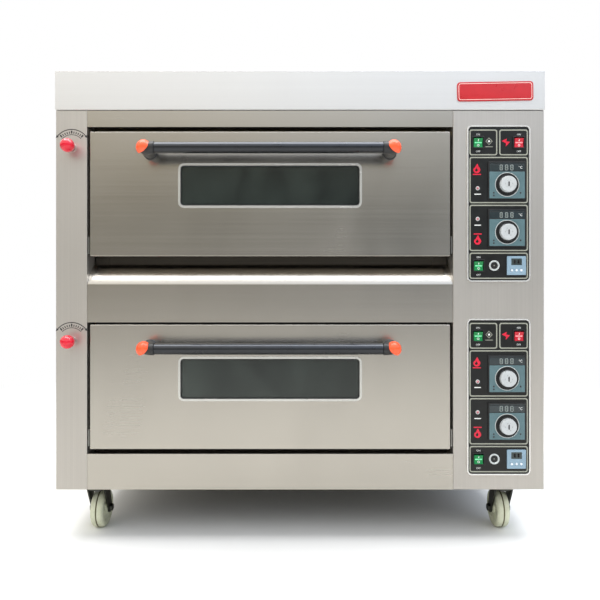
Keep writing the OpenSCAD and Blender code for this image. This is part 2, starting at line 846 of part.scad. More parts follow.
// One handle end: a sleeve along the bar, a round elbow, a leg to the door, and a domed cap over
// the elbow's outer corner
module handle_end(deck, side) {
    sleeve_r = elbow_r - 0.5;
    foot_r = sleeve_r + 2.5;
    corner_x = handle_len / 2 - cap_r;
    sleeve_x = handle_len / 2 - bar_inset + seam;
    cap_floor = 3.5;
    foot_l = 5;
    fit = 0.3;
    color([0.13, 0.13, 0.14])
        translate([deck_x, front_y, handle_z(deck)])
            mirror([side < 0 ? 1 : 0, 0, 0]) {
                translate([sleeve_x, -handle_out, 0])
                    rotate([0, 90, 0])
                        cylinder(r = sleeve_r, h = corner_x - sleeve_x);
                translate([corner_x, -handle_out, 0])
                    sphere(elbow_r);
                translate([corner_x, -handle_out, 0])
                    rotate([-90, 0, 0])
                        cylinder(r = sleeve_r, h = handle_out - seam / 2);
                translate([corner_x, -foot_l, 0])
                    rotate([-90, 0, 0])
                        cylinder(r = foot_r, h = foot_l - seam / 2);
            }
    color([1, 0.38, 0.2])
        translate([deck_x, front_y, handle_z(deck)])
            mirror([side < 0 ? 1 : 0, 0, 0])
                translate([corner_x, -handle_out, 0])
                    difference() {
                        intersection() {
                            sphere(cap_r);
                            rotate([90 - cap_tip, 0, cap_turn])
                                translate([0, 0, cap_floor])
                                    cylinder(r = 2 * cap_r, h = 2 * cap_r);
                        }
                        sphere(elbow_r + fit);
                        rotate([0, -90, 0])
                            cylinder(r = sleeve_r + fit, h = 2 * cap_r);
                        rotate([-90, 0, 0])
                            cylinder(r = sleeve_r + fit, h = 2 * cap_r);
                    }
}

module handle_ends(deck) {
    for (side = SIDES)
        handle_end(deck, side);
}

module hinge_brackets() {
    plate_t = 4;
    plate_below = 18;
    plate_above = 26;
    pin_l = 24;
    color("gainsboro")
        for (deck = DECKS, side = SIDES) {
            x0 = side < 0 ? mouth_x0 + 1 : mouth_x1 - 1 - plate_t;
            pin = side < 0 ? [x0, x0 + pin_l] : [x0 + plate_t - pin_l, x0 + plate_t];
            slab([x0, x0 + plate_t], [4, chamber_y - lining - 2 * seam],
                 [pivot_z(deck) - plate_below, pivot_z(deck) + plate_above]);
            rod_x(pivot_in, pivot_z(deck), pin_r, pin);
        }
}

// Dampers

module damper_knob(deck) {
    neck_r = 9;
    color("crimson")
        difference() {
            union() {
                translate([damper_x, front_y - knob_out, damper_z(deck)])
                    sphere(knob_r);
                rod_y(damper_x, damper_z(deck), neck_r, [-knob_out, -knob_out + knob_r + 2]);
            }
            rod_y(damper_x, damper_z(deck), shaft_r, [-knob_out - 6, 0]);
        }
}

// The long shaft with the arm and the round gate that covers the flue port
module damper_shaft(deck) {
    gate_r = port_half * sqrt(2) + 2;
    gate_t = 3;
    hub_l = 14;
    arm_h = 24;
    color("gray") {
        rod_y(damper_x, damper_z(deck), shaft_r, [-knob_out - 6, gate_y + gate_t]);
        rod_y(damper_x, damper_z(deck), shaft_r + 6, [gate_y - hub_l, gate_y + gate_t]);
        translate([damper_x, front_y + gate_y, damper_z(deck)])
            rotate([0, gate_angle, 0]) {
                translate([0, 0, -arm_h / 2])
                    cube([gate_arm, gate_t, arm_h]);
                translate([gate_arm, 0, 0])
                    rotate([-90, 0, 0])
                        cylinder(r = gate_r, h = gate_t);
            }
    }
}

// Castors

module fork(side, depth) {
    crown_r = 27;
    eye_r = 13;
    head_r = 10;
    head_t = 6;
    color("gray")
        translate([side * swivel_x, front_y + depth, 0]) {
            // Crown under the top plate, bored for the kingpin
            difference() {
                translate([0, 0, crown_z])
                    cylinder(r = crown_r, h = 5 - seam);
                translate([0, 0, crown_z - 1])
                    cylinder(r = kingpin_r + run, h = 8);
            }
            for (i = SIDES)
                translate([i * (fork_gap + fork_t / 2) - fork_t / 2, 0, 0])
                    rotate([90, 0, 90])
                        linear_extrude(fork_t) {
                            polygon([[-18, crown_z + 1], [22, crown_z + 1],
                                     [caster_trail + eye_r, wheel_r], [caster_trail - eye_r, wheel_r]]);
                            translate([caster_trail, wheel_r])
                                circle(eye_r);
                        }
            // Axle bolt with its heads
            translate([0, caster_trail, wheel_r])
                rotate([0, 90, 0])
                    cylinder(r = axle_r, h = 2 * (fork_gap + fork_t) + 4, center = true);
            for (i = SIDES)
                translate([i * (fork_gap + fork_t + head_t / 2), caster_trail, wheel_r])
                    rotate([0, 90, 0])
                        cylinder(r = head_r, h = head_t, center = true, $fn = 6);
        }
}

module wheel(side, depth) {
    hub_w = wheel_w + 3;
    color([0.8, 0.82, 0.7])
        translate([side * swivel_x, front_y + depth + caster_trail, wheel_r])
            rotate([0, 90, 0])
                rotate_extrude()
                    polygon([
                        [axle_r + run, -hub_w / 2], [16, -hub_w / 2], [18, -wheel_w / 2 + 2],
                        [34, -wheel_w / 2 + 2], [36, -wheel_w / 2], [wheel_r - 6, -wheel_w / 2],
                        [wheel_r - 1.5, -wheel_w / 2 + 4], [wheel_r, -wheel_w / 2 + 9],
                        [wheel_r, wheel_w / 2 - 9], [wheel_r - 1.5, wheel_w / 2 - 4],
                        [wheel_r - 6, wheel_w / 2], [36, wheel_w / 2], [34, wheel_w / 2 - 2],
                        [18, wheel_w / 2 - 2], [16, hub_w / 2], [axle_r + run, hub_w / 2]
                    ]);
}

base_frame();
side_panels();
rear_panel();
roof_panel();
header_fascia();
left_pillar();
control_column();
front_rails();
name_plate();
chamber_linings();
baking_decks();
insulation();
burners();
gas_train();
flue_ducts();
control_panels();
panel_bezels();
thermostats();
timers_and_alarms();
hinge_brackets();

door_skin(LOWER);  // lower_door_skin
door_liner(LOWER);  // lower_door_liner
window_glass(LOWER);  // lower_window_glass
window_trim(LOWER);  // lower_window_trim
handle_bar(LOWER);  // lower_handle_bar
handle_ends(LOWER);  // lower_handle_ends
door_skin(UPPER);  // upper_door_skin
door_liner(UPPER);  // upper_door_liner
window_glass(UPPER);  // upper_window_glass
window_trim(UPPER);  // upper_window_trim
handle_bar(UPPER);  // upper_handle_bar
handle_ends(UPPER);  // upper_handle_ends

damper_knob(LOWER);  // lower_damper_knob
damper_shaft(LOWER);  // lower_damper_shaft
damper_knob(UPPER);  // upper_damper_knob
damper_shaft(UPPER);  // upper_damper_shaft

green_rocker(LOWER, rocker_places[0]);  // lower_ignition_rocker
red_rocker(LOWER, rocker_places[1]);  // lower_power_rocker
green_rocker(LOWER, rocker_places[2]);  // lower_timer_rocker
green_rocker(UPPER, rocker_places[0]);  // upper_ignition_rocker
red_rocker(UPPER, rocker_places[1]);  // upper_power_rocker
green_rocker(UPPER, rocker_places[2]);  // upper_timer_rocker

heat_dial(LOWER, thermostat_places[0]);  // lower_top_heat_dial
heat_dial(LOWER, thermostat_places[1]);  // lower_bottom_heat_dial
heat_dial(UPPER, thermostat_places[0]);  // upper_top_heat_dial
heat_dial(UPPER, thermostat_places[1]);  // upper_bottom_heat_dial

timer_button(LOWER, 1);  // lower_timer_button_1
timer_button(LOWER, 2);  // lower_timer_button_2
timer_button(LOWER, 3);  // lower_timer_button_3
timer_button(UPPER, 1);  // upper_timer_button_1
timer_button(UPPER, 2);  // upper_timer_button_2
timer_button(UPPER, 3);  // upper_timer_button_3

fork(-1, front_swivel_y);  // front_left_fork
fork(1, front_swivel_y);  // front_right_fork
fork(-1, rear_swivel_y);  // rear_left_fork
fork(1, rear_swivel_y);  // rear_right_fork
wheel(-1, front_swivel_y);  // front_left_wheel
wheel(1, front_swivel_y);  // front_right_wheel
wheel(-1, rear_swivel_y);  // rear_left_wheel
wheel(1, rear_swivel_y);  // rear_right_wheel
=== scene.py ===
"""The deck oven's looks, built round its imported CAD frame.

Places are in metres. The outlines, profiles and depths of pieces are in mm, and MM turns them into metres.
"""

import json
import math

import bmesh
import bpy
from mathutils import Matrix, Vector


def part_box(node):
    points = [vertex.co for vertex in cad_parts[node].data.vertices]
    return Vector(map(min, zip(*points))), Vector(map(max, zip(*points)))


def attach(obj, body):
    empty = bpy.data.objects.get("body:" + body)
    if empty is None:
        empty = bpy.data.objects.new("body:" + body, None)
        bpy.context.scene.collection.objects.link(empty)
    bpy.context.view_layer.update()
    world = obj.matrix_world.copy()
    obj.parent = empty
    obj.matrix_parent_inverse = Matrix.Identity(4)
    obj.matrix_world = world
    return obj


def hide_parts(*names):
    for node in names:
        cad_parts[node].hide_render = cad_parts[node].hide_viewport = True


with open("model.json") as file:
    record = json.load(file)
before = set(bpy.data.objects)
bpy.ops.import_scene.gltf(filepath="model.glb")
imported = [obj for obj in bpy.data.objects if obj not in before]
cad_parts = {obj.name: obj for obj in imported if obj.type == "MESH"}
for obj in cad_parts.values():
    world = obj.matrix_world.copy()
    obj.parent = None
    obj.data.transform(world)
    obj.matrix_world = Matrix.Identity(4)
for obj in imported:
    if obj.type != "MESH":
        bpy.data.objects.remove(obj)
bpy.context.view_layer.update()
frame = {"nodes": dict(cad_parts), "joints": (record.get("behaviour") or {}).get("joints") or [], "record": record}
joints = {joint["name"]: joint for joint in frame["joints"]}
body_of = {node: body for body, nodes in frame["record"]["behaviour"]["bodies"].items() for node in nodes}

MM = 0.001
DECKS = ("lower", "upper")
FACING_FRONT = Matrix.Rotation(math.radians(90), 4, "X")

# Places that the frame gives. The damper bosses stand out from the pillar's face, and the bezels
# stand out from the membranes.
BOSS_RISE = 3 * MM
BEZEL_RISE = 2 * MM
front_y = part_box("left_pillar")[0].y + BOSS_RISE
bezel_low, bezel_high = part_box("panel_bezels")
membrane_y = bezel_low.y + BEZEL_RISE
deck_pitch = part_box("upper_door_skin")[1].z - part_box("lower_door_skin")[1].z


def panel_point(deck, right, down):
    """A point on a deck's membrane, in mm right of and below the panel's top left corner."""
    top = bezel_high.z - (0 if deck == "upper" else deck_pitch)
    return Vector((bezel_low.x + right * MM, membrane_y, top - down * MM))


def placed(name, data):
    """A new object in the scene."""
    holder = bpy.data.objects.new(name, data)
    bpy.context.scene.collection.objects.link(holder)
    return holder


# Materials


def linear(red, green, blue):
    """A display colour, 0 to 255, as a linear one."""
    parts = []
    for value in (red, green, blue):
        share = value / 255
        parts.append(share / 12.92 if share <= 0.04045 else ((share + 0.055) / 1.055) ** 2.4)
    return (*parts, 1.0)


def shade(colour, factor):
    return (*(part * factor for part in colour[:3]), 1.0)


def shader_node(tree, kind, inputs, **settings):
    """A new shader node. Each input is a value or the output of another node."""
    made = tree.nodes.new("ShaderNode" + kind)
    for name, value in settings.items():
        setattr(made, name, value)
    for socket, value in inputs.items():
        if isinstance(value, bpy.types.NodeSocket):
            tree.links.new(value, made.inputs[socket])
        else:
            made.inputs[socket].default_value = value
    return made


class Nodes:
    """Builds one material's node tree round a Principled shader."""

    def __init__(self, name):
        self.material = bpy.data.materials.new(name)
        self.material.use_nodes = True
        self.tree = self.material.node_tree
        self.shader = self.tree.nodes["Principled BSDF"]
        self.coordinates = shader_node(self.tree, "TexCoord", {}).outputs["Object"]

    def value(self, **sockets):
        for name, value in sockets.items():
            self.shader.inputs[name.replace("_", " ")].default_value = value

    def noise(self, scale, detail=3.0, stretch=(1, 1, 1), distortion=0.0):
        mapping = shader_node(self.tree, "Mapping", {"Vector": self.coordinates, "Scale": stretch})
        inputs = {"Vector": mapping.outputs[0], "Scale": scale, "Detail": detail, "Distortion": distortion}
        return shader_node(self.tree, "TexNoise", inputs).outputs["Fac"]

    def span(self, source, low, high, start=0.3, stop=0.7):
        """Maps a noise onto a range of values."""
        inputs = {"Value": source, "From Min": start, "From Max": stop, "To Min": low, "To Max": high}
        return shader_node(self.tree, "MapRange", inputs).outputs["Result"]

    def blend(self, factor, first, second):
        """Goes from one colour to another."""
        return shader_node(self.tree, "Mix", {0: factor, 6: first, 7: second}, data_type="RGBA").outputs[2]

    def colour(self, output):
        self.tree.links.new(output, self.shader.inputs["Base Color"])

    def roughness(self, output):
        self.tree.links.new(output, self.shader.inputs["Roughness"])

    def bump(self, height, strength, distance):
        made = shader_node(self.tree, "Bump", {"Height": height, "Strength": strength, "Distance": distance})
        self.tree.links.new(made.outputs["Normal"], self.shader.inputs["Normal"])


def brushed_steel(name, colour, roughness, stretch, grain=0.06, metallic=1.0):
    """Stainless sheet with a directional grain and faint smears."""
    nodes = Nodes(name)
    nodes.value(Metallic=metallic)
    fine = nodes.noise(1.0, 4.0, stretch)
    smear = nodes.noise(3.5, 3.0, (1, 1, 0.6), 0.6)
    streaked = nodes.blend(nodes.span(fine, 0, 1), shade(colour, 1 - grain), shade(colour, 1 + grain * 0.6))
    nodes.colour(nodes.blend(nodes.span(smear, 0.0, 0.35), streaked, shade(colour, 0.9)))
    inputs = {0: nodes.span(fine, roughness - 0.01, roughness + 0.01), 1: nodes.span(smear, -0.02, 0.05)}
    nodes.roughness(shader_node(nodes.tree, "Math", inputs).outputs[0])
    nodes.bump(smear, 0.5, 0.0008)
    return nodes.material


def moulded(name, colour, roughness, coat=0.0, speckle=0.08, metallic=0.0):
    """Moulded plastic or paint with a faint orange-peel surface and uneven gloss."""
    nodes = Nodes(name)
    nodes.value(Metallic=metallic, Coat_Weight=coat)
    broad = nodes.noise(45, 3.0)
    fine = nodes.noise(900, 2.0)
    nodes.colour(nodes.blend(nodes.span(broad, 0, 1), shade(colour, 1 - speckle), shade(colour, 1 + speckle)))
    nodes.roughness(nodes.span(broad, roughness - 0.04, roughness + 0.06))
    nodes.bump(fine, 0.06, 0.0002)
    return nodes.material


def glowing(name, colour, strength):
    """A colour that also gives off a little light: the lit rockers' own glow, and painted light on the printed
    signs and the rockers' painted highlight strips.
    """
    nodes = Nodes(name)
    nodes.value(Roughness=0.35, Emission_Strength=strength, Emission_Color=colour)
    broad = nodes.noise(220, 2.0)
    nodes.colour(nodes.blend(nodes.span(broad, 0, 1), shade(colour, 0.85), shade(colour, 1.1)))
    return nodes.material


def window_glass_material():
    nodes = Nodes("oven_glass")
    nodes.value(Roughness=0.03, IOR=1.5, Transmission_Weight=0.75, Coat_Weight=0.35, Coat_Roughness=0.02)
    # Soft mottled patches in the glass's colour stand for smudges, and are also painted reflections of the room
    smudges_and_painted_reflections = nodes.noise(9, 4.0, (1, 1, 0.5), 0.8)
    nodes.colour(nodes.blend(nodes.span(smudges_and_painted_reflections, 0, 1), linear(52, 63, 61), linear(92, 105, 99)))
    return nodes.material


def clear_lens_material():
    nodes = Nodes("red_lens")
    nodes.value(Roughness=0.08, Transmission_Weight=0.3, Coat_Weight=1.0)
    swirl = nodes.noise(400, 2.0)
    nodes.colour(nodes.blend(nodes.span(swirl, 0, 1), linear(205, 90, 105), linear(245, 175, 180)))
    return nodes.material


def wool_material():
    nodes = Nodes("mineral_wool")
    nodes.value(Roughness=0.95)
    fibres = nodes.noise(260, 6.0, (1, 1, 3), 1.5)
    nodes.colour(nodes.blend(nodes.span(fibres, 0, 1), linear(176, 150, 84), linear(226, 206, 146)))
    nodes.bump(fibres, 0.8, 0.002)
    return nodes.material


def hearth_material():
    """Rolled steel plate, oxidised by heat in blue and brown patches."""
    nodes = Nodes("hearth_plate")
    nodes.value(Metallic=0.85)
    patches = nodes.noise(7, 5.0, (1, 1, 1), 0.8)
    grit = nodes.noise(300, 4.0)
    nodes.colour(nodes.blend(nodes.span(patches, 0, 1), linear(66, 62, 62), linear(112, 100, 88)))
    nodes.roughness(nodes.span(grit, 0.42, 0.6))
    nodes.bump(grit, 0.25, 0.0006)
    return nodes.material


def nylon_material():
    """Cream cast nylon with scuffs on the tread."""
    nodes = Nodes("wheel_nylon")
    nodes.value(Subsurface_Weight=0.12, Subsurface_Radius=(0.004, 0.004, 0.003))
    mottle = nodes.noise(30, 5.0, (1, 1, 1), 0.7)
    scuffs = nodes.noise(180, 5.0, (4, 1, 1), 0.5)
    cream = nodes.blend(nodes.span(mottle, 0, 1), linear(196, 199, 172), linear(216, 218, 194))
    nodes.colour(nodes.blend(nodes.span(scuffs, 0, 0.45, 0.55, 0.8), cream, linear(128, 126, 108)))
    nodes.roughness(nodes.span(scuffs, 0.38, 0.6))
    nodes.bump(scuffs, 0.2, 0.0004)
    return nodes.material


STEEL = linear(211, 207, 200)
HORIZONTAL = (1.2, 1.2, 260)
VERTICAL = (260, 260, 1.2)
look = {
    "steel_across": brushed_steel("steel_brushed_across", STEEL, 0.22, HORIZONTAL, 0.02),
    "steel_upright": brushed_steel("steel_brushed_upright", linear(215, 211, 206), 0.40, VERTICAL, 0.05, 0.9),
    # The header's steel is paler and partly diffuse: partly its own finish, and partly painted light for the
    # brightness it shows
    "steel_header": brushed_steel("steel_header", linear(238, 238, 238), 0.34, HORIZONTAL, 0.015, 0.75),
    "steel_panel": brushed_steel("steel_outer_panel", linear(204, 202, 197), 0.36, HORIZONTAL),
    "steel_roof": brushed_steel("steel_roof", linear(204, 202, 197), 0.36, (5, 900, 5)),
    "window_trim": brushed_steel("window_trim_steel", linear(226, 226, 222), 0.24, HORIZONTAL, 0.02, 0.72),
    "trim": brushed_steel("polished_trim", linear(246, 246, 244), 0.16, HORIZONTAL, 0.02, 0.6),
    # Dark chamber steel: its tone is partly the linings' own and partly painted shade for the gap under each door,
    # where the face frame shows
    "chamber": brushed_steel("chamber_steel", linear(82, 78, 73), 0.42, HORIZONTAL, 0.12),
    "liner": brushed_steel("liner_steel", linear(160, 154, 145), 0.4, HORIZONTAL, 0.06),
    "hinge": brushed_steel("hinge_steel", linear(150, 151, 148), 0.3, (60, 60, 60), 0.06),
    "frame": brushed_steel("frame_steel", linear(120, 120, 120), 0.5, (40, 40, 40), 0.15),
    "zinc": brushed_steel("zinc_plate", linear(88, 90, 86), 0.38, (60, 60, 60), 0.12),
    "burner": brushed_steel("burner_tube", linear(112, 108, 104), 0.5, (60, 60, 60), 0.2),
    "brass": brushed_steel("brass_pipe", linear(205, 172, 108), 0.34, (50, 50, 50), 0.1),
    "hearth": hearth_material(),
    "wool": wool_material(),
    "glass": window_glass_material(),
    "bar": moulded("handle_gloss_black", linear(62, 65, 71), 0.3, 0.6, 0.06, 1.0),
    "elbow": moulded("handle_end_black", linear(40, 41, 43), 0.34, 0.0, 0.15),
    "orange": moulded("cap_orange", linear(255, 92, 48), 0.28, 0.3),
    "knob": moulded("knob_red", linear(214, 14, 46), 0.16, 0.8),
    "membrane": moulded("membrane_black", linear(17, 19, 20), 0.36, 0.0, 0.2),
    "outline": moulded("field_outline", linear(150, 152, 140), 0.42, 0.0, 0.06),
    "teal": moulded("thermostat_face", linear(84, 112, 118), 0.4, 0.1, 0.06),
    "dark_face": moulded("display_window", linear(40, 50, 54), 0.12, 0.6, 0.1),
    "segment": moulded("display_segment", linear(150, 160, 158), 0.4, 0.0, 0.05),
    "black": moulded("matt_black_plastic", linear(28, 29, 31), 0.42, 0.0, 0.15),
    "silver": moulded("dial_face", linear(184, 188, 190), 0.3, 0.2, 0.06),
    "ring": moulded("dial_ring", linear(196, 202, 202), 0.3, 0.1, 0.05, 0.2),
    "white": moulded("print_white", linear(225, 228, 226), 0.45, 0.0, 0.03),
    "timer": moulded("timer_face", linear(134, 160, 178), 0.42, 0.0, 0.04),
    "button": moulded("timer_button", linear(222, 230, 238), 0.4, 0.0, 0.04),
    "lcd": moulded("timer_display", linear(52, 62, 62), 0.25, 0.3, 0.08),
    "green": glowing("rocker_green", linear(6, 128, 66), 0.05),
    # Lighter strips across the rockers: painted highlights, which also glow a little
    "green_light": glowing("rocker_green_highlight", linear(120, 225, 165), 0.15),
    "red": glowing("rocker_red", linear(190, 22, 44), 0.05),
    "red_light": glowing("rocker_red_highlight", linear(240, 150, 155), 0.12),
    # The printed red signs are given a faint glow, which is painted light
    "sign": glowing("sign_red", linear(205, 24, 54), 0.12),
    "lens": clear_lens_material(),
    "plate": moulded("plate_enamel", linear(184, 26, 36), 0.3, 0.3, 0.05),
    "plate_edge": moulded("plate_border", linear(240, 214, 206), 0.35, 0.0, 0.03),
    "ink": moulded("decal_ink", linear(44, 42, 44), 0.5, 0.0, 0.05),
    "nylon": nylon_material(),
    # A dark band for the groove round the middle of a wheel's tread
    "dark_seam": moulded("seam_dark_band", linear(84, 78, 46), 0.6, 0.0, 0.15),
}


# Ways to make pieces


def add(name, mesh, material, body):
    """Puts a mesh in the scene as one piece that rides on a body."""
    piece = placed(name, mesh)
    mesh.materials.clear()
    mesh.materials.append(look[material])
    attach(piece, body)
    return piece


def finished(shape, name):
    """The mesh of a bmesh, which is freed."""
    mesh = bpy.data.meshes.new(name)
    shape.to_mesh(mesh)
    shape.free()
    return mesh


def outward(shape, name):
    """The mesh of a closed bmesh, with its faces turned outwards."""
    bmesh.ops.recalc_face_normals(shape, faces=shape.faces)
    return finished(shape, name)


def smooth(mesh, angle=32):
    mesh.polygons.foreach_set("use_smooth", [True] * len(mesh.polygons))
    mesh.set_sharp_from_angle(angle=math.radians(angle))
    mesh.update()


def rounded(shape, edges, offset, segments):
    """Rounds edges over, by an offset in metres."""
    bmesh.ops.bevel(
        shape, geom=edges, offset=offset, offset_type="OFFSET", segments=segments, profile=0.5,
        affect="EDGES", clamp_overlap=True,
    )


def skin(shape, rings):
    """Joins each ring of vertices to the next one with faces."""
    for first, second in zip(rings, rings[1:]):
        for i in range(len(first)):
            j = (i + 1) % len(first)
            corners = tuple(dict.fromkeys((first[i], first[j], second[j], second[i])))
            if len(corners) > 2:
                shape.faces.new(corners)


def on_two_planes(edge, low, high):
    """True for an edge that lies along an outer corner of the box from low to high."""
    planes = 0
    for axis in range(3):
        for limit in (low[axis], high[axis]):
            if all(abs(vertex.co[axis] - limit) < 2e-5 for vertex in edge.verts):
                planes += 1
    return planes >= 2


def refined(node, material, fold=0.0, soft=0.3, behind=None):
    """Stands for a CAD node: the same shape, with its folds rounded and its sharp edges eased.

    With behind, only what lies behind that depth is kept, and other pieces stand for the rest.
    """
    low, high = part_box(node)
    shape = bmesh.new()
    shape.from_mesh(frame["nodes"][node].data)
    bmesh.ops.remove_doubles(shape, verts=shape.verts, dist=2e-6)
    if behind is not None:
        cut = bmesh.ops.bisect_plane(
            shape, geom=[*shape.verts, *shape.edges, *shape.faces], plane_co=(0, behind, 0),
            plane_no=(0, -1, 0), clear_outer=True,
        )
        rims = [item for item in cut["geom_cut"] if isinstance(item, bmesh.types.BMEdge)]
        bmesh.ops.triangle_fill(shape, edges=rims, use_beauty=True)
    bmesh.ops.dissolve_limit(shape, angle_limit=math.radians(0.6), verts=shape.verts, edges=shape.edges)
    if fold:
        rounded(shape, [edge for edge in shape.edges if on_two_planes(edge, low, high)], fold * MM, 4)
    sharp = [
        edge for edge in shape.edges
        if len(edge.link_faces) == 2 and edge.calc_face_angle(0) > math.radians(50)
    ]
    rounded(shape, sharp, soft * MM, 2)
    mesh = finished(shape, node + "_mesh")
    smooth(mesh)
    piece = add(node + "_shown", mesh, material, body_of[node])
    # Large flat faces stay flat, and only the narrow rounded edges look bent
    modifier = piece.modifiers.new("even_normals", "WEIGHTED_NORMAL")
    modifier.keep_sharp = True
    modifier.weight = 100
    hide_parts(node)
    return piece




def from_curve(name, curve):
    """Turns a curve or a text into a mesh."""
    holder = placed(name, curve)
    bpy.context.view_layer.update()
    mesh = bpy.data.meshes.new_from_object(holder)
    bpy.data.objects.remove(holder)
    bpy.data.curves.remove(curve)
    mesh.name = name
    return mesh


def curve_mesh(name, loops, depth, bevel=0.0):
    """A flat plate from closed outlines, the first round and the others cut out, with rounded rims."""
    curve = bpy.data.curves.new(name, "CURVE")
    curve.dimensions = "2D"
    curve.fill_mode = "BOTH"
    curve.extrude = (depth / 2 - bevel) * MM
    curve.bevel_depth = bevel * MM
    curve.bevel_resolution = 2
    curve.offset = -bevel * MM
    for loop in loops:
        spline = curve.splines.new("POLY")
        spline.points.add(len(loop) - 1)
        for point, (x, y) in zip(spline.points, loop):
            point.co = (x * MM, y * MM, 0, 1)
        spline.use_cyclic_u = True
    mesh = from_curve(name, curve)
    shape = bmesh.new()
    shape.from_mesh(mesh)
    bmesh.ops.remove_doubles(shape, verts=shape.verts, dist=1e-6)
    bmesh.ops.recalc_face_normals(shape, faces=shape.faces)
    shape.to_mesh(mesh)
    shape.free()
    return mesh


def plate(name, loops, place, depth, material, body="cabinet", bevel=0.0, turn=0.0):
    """A plate that faces the front, with its back on place and its front depth nearer the viewer."""
    mesh = curve_mesh(name, loops, depth, bevel)
    spin = Matrix.Rotation(math.radians(-turn), 4, "Y")
    mesh.transform(Matrix.Translation(nearer(place, depth / 2)) @ spin @ FACING_FRONT)
    smooth(mesh, 40)
    return add(name, mesh, material, body)


def nearer(place, step):
    """A place some mm nearer the viewer."""
    return Vector((place[0], place[1] - step * MM, place[2]))


def beside(place, right, up):
    """A place some mm to the right of and above another."""
    return place + Vector((right * MM, 0, up * MM))


def circle_loop(radius, steps=32, x=0.0, y=0.0):
    return [
        (x + radius * math.cos(math.tau * i / steps), y + radius * math.sin(math.tau * i / steps))
        for i in range(steps)
    ]


def arc(centre, radius, start, stop, steps):
    """Points on an arc, from start to stop in degrees."""
    points = []
    for step in range(steps + 1):
        angle = math.radians(start + (stop - start) * step / steps)
        points.append((centre[0] + radius * math.cos(angle), centre[1] + radius * math.sin(angle)))
    return points


def box_loop(width, height, radius=0.0, x=0.0, y=0.0):
    """A rectangle's outline round (x, y), with rounded corners."""
    across = width / 2 - radius
    up = height / 2 - radius
    corners = ((1, 1), (-1, 1), (-1, -1), (1, -1))
    if radius <= 0:
        return [(x + i * across, y + j * up) for i, j in corners]
    points = []
    for corner, (i, j) in enumerate(corners):
        points += arc((x + i * across, y + j * up), radius, 90 * corner, 90 * corner + 90, 6)
    return points


def band(inner, outer, start, stop, steps=28):
    """The outline of a stretch of a ring, between two angles clockwise from straight up."""
    return [
        *arc((0, 0), outer, 90 - start, 90 - stop, steps),
        *arc((0, 0), inner, 90 - stop, 90 - start, steps),
    ]


def lathe(name, profile, matrix, material, body, steps=64, angle=32):
    """A turned piece: profile holds (radius, height) points, turned round local Z."""
    shape = bmesh.new()
    rings = []
    for radius, height in profile:
        if radius < 1e-4:
            rings.append([shape.verts.new((0, 0, height * MM))] * steps)
        else:
            spots = [(x * MM, y * MM, height * MM) for x, y in circle_loop(radius, steps)]
            rings.append([shape.verts.new(spot) for spot in spots])
    skin(shape, rings)
    mesh = outward(shape, name)
    mesh.transform(matrix)
    smooth(mesh, angle)
    return add(name, mesh, material, body)


def shoulder(radius, height, rounding, steps=5):
    """Profile points at the top of a turned side, and over its rounded edge."""
    return [(radius, height - rounding), *arc((radius - rounding, height - rounding), rounding, 0, 90, steps)]


def to_front(place):
    """Local Z points at the viewer, from a place."""
    return Matrix.Translation(Vector(place)) @ FACING_FRONT


def lettering(name, words, place, height, material, body="cabinet", thickness=0.15):
    """Small raised printing that faces the front, centred on a place."""
    text = bpy.data.curves.new(name, "FONT")
    text.body = words
    text.size = height * 1.4 * MM
    text.align_x = "CENTER"
    text.align_y = "CENTER"
    text.resolution_u = 2
    text.extrude = thickness / 2 * MM
    mesh = from_curve(name, text)
    mesh.transform(to_front(nearer(place, thickness / 2)))
    return add(name, mesh, material, body)


# Sheet metal and inner parts, straight from the frame

SHEETS = {
    "header_fascia": ("steel_header", 2.5),
    "left_pillar": ("steel_upright", 0.0),
    "control_column": ("steel_upright", 1.5),
    "front_rails": ("steel_across", 0.0),
    "side_panels": ("steel_panel", 0.6),
    "rear_panel": ("steel_panel", 0.0),
    "roof_panel": ("steel_roof", 0.6),
    "hinge_brackets": ("hinge", 0.0),
    # The linings' face frame shows below each door, and its dark steel is partly painted shade in that gap
    "chamber_linings": ("chamber", 0.0),
    "baking_decks": ("hearth", 0.0),
    "insulation": ("wool", 0.0),
    "flue_ducts": ("chamber", 0.0),
    "base_frame": ("frame", 0.0),
    "burners": ("burner", 0.0),
    "gas_train": ("brass", 0.0),
    "lower_damper_shaft": ("frame", 0.0),
    "upper_damper_shaft": ("frame", 0.0),
    "panel_bezels": ("trim", 0.0),
    "control_panels": ("membrane", 0.0),
}


def gasket(deck):
    """The black seal between a window's bright trim and its glass."""
    low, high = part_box(deck + "_window_trim")
    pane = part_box(deck + "_window_glass")[0].y
    rim = 6.2
    width, _, height = (high - low) / MM
    width -= 2 * rim
    height -= 2 * rim
    loops = [box_loop(width, height, 8.8), box_loop(width - 4, height - 4, 6.8)]
    place = Vector(((low.x + high.x) / 2, pane - 0.1 * MM, (low.z + high.z) / 2))
    depth = (pane - low.y) / MM - 0.8
    plate(deck + "_window_gasket", loops, place, depth, "elbow", deck + "_door", bevel=0.4)


for node, (material, fold) in SHEETS.items():
    refined(node, material, fold)
for deck in DECKS:
    refined(deck + "_door_skin", "steel_across", 2.5)
    refined(deck + "_door_liner", "liner", 1.0)
    refined(deck + "_window_glass", "glass")
    refined(deck + "_window_trim", "window_trim", soft=0.5)
    gasket(deck)


# Handles

CAP_TURN = math.radians(40)
CAP_TIP = math.radians(-30)
CAP_FLOOR = 3.6 * MM


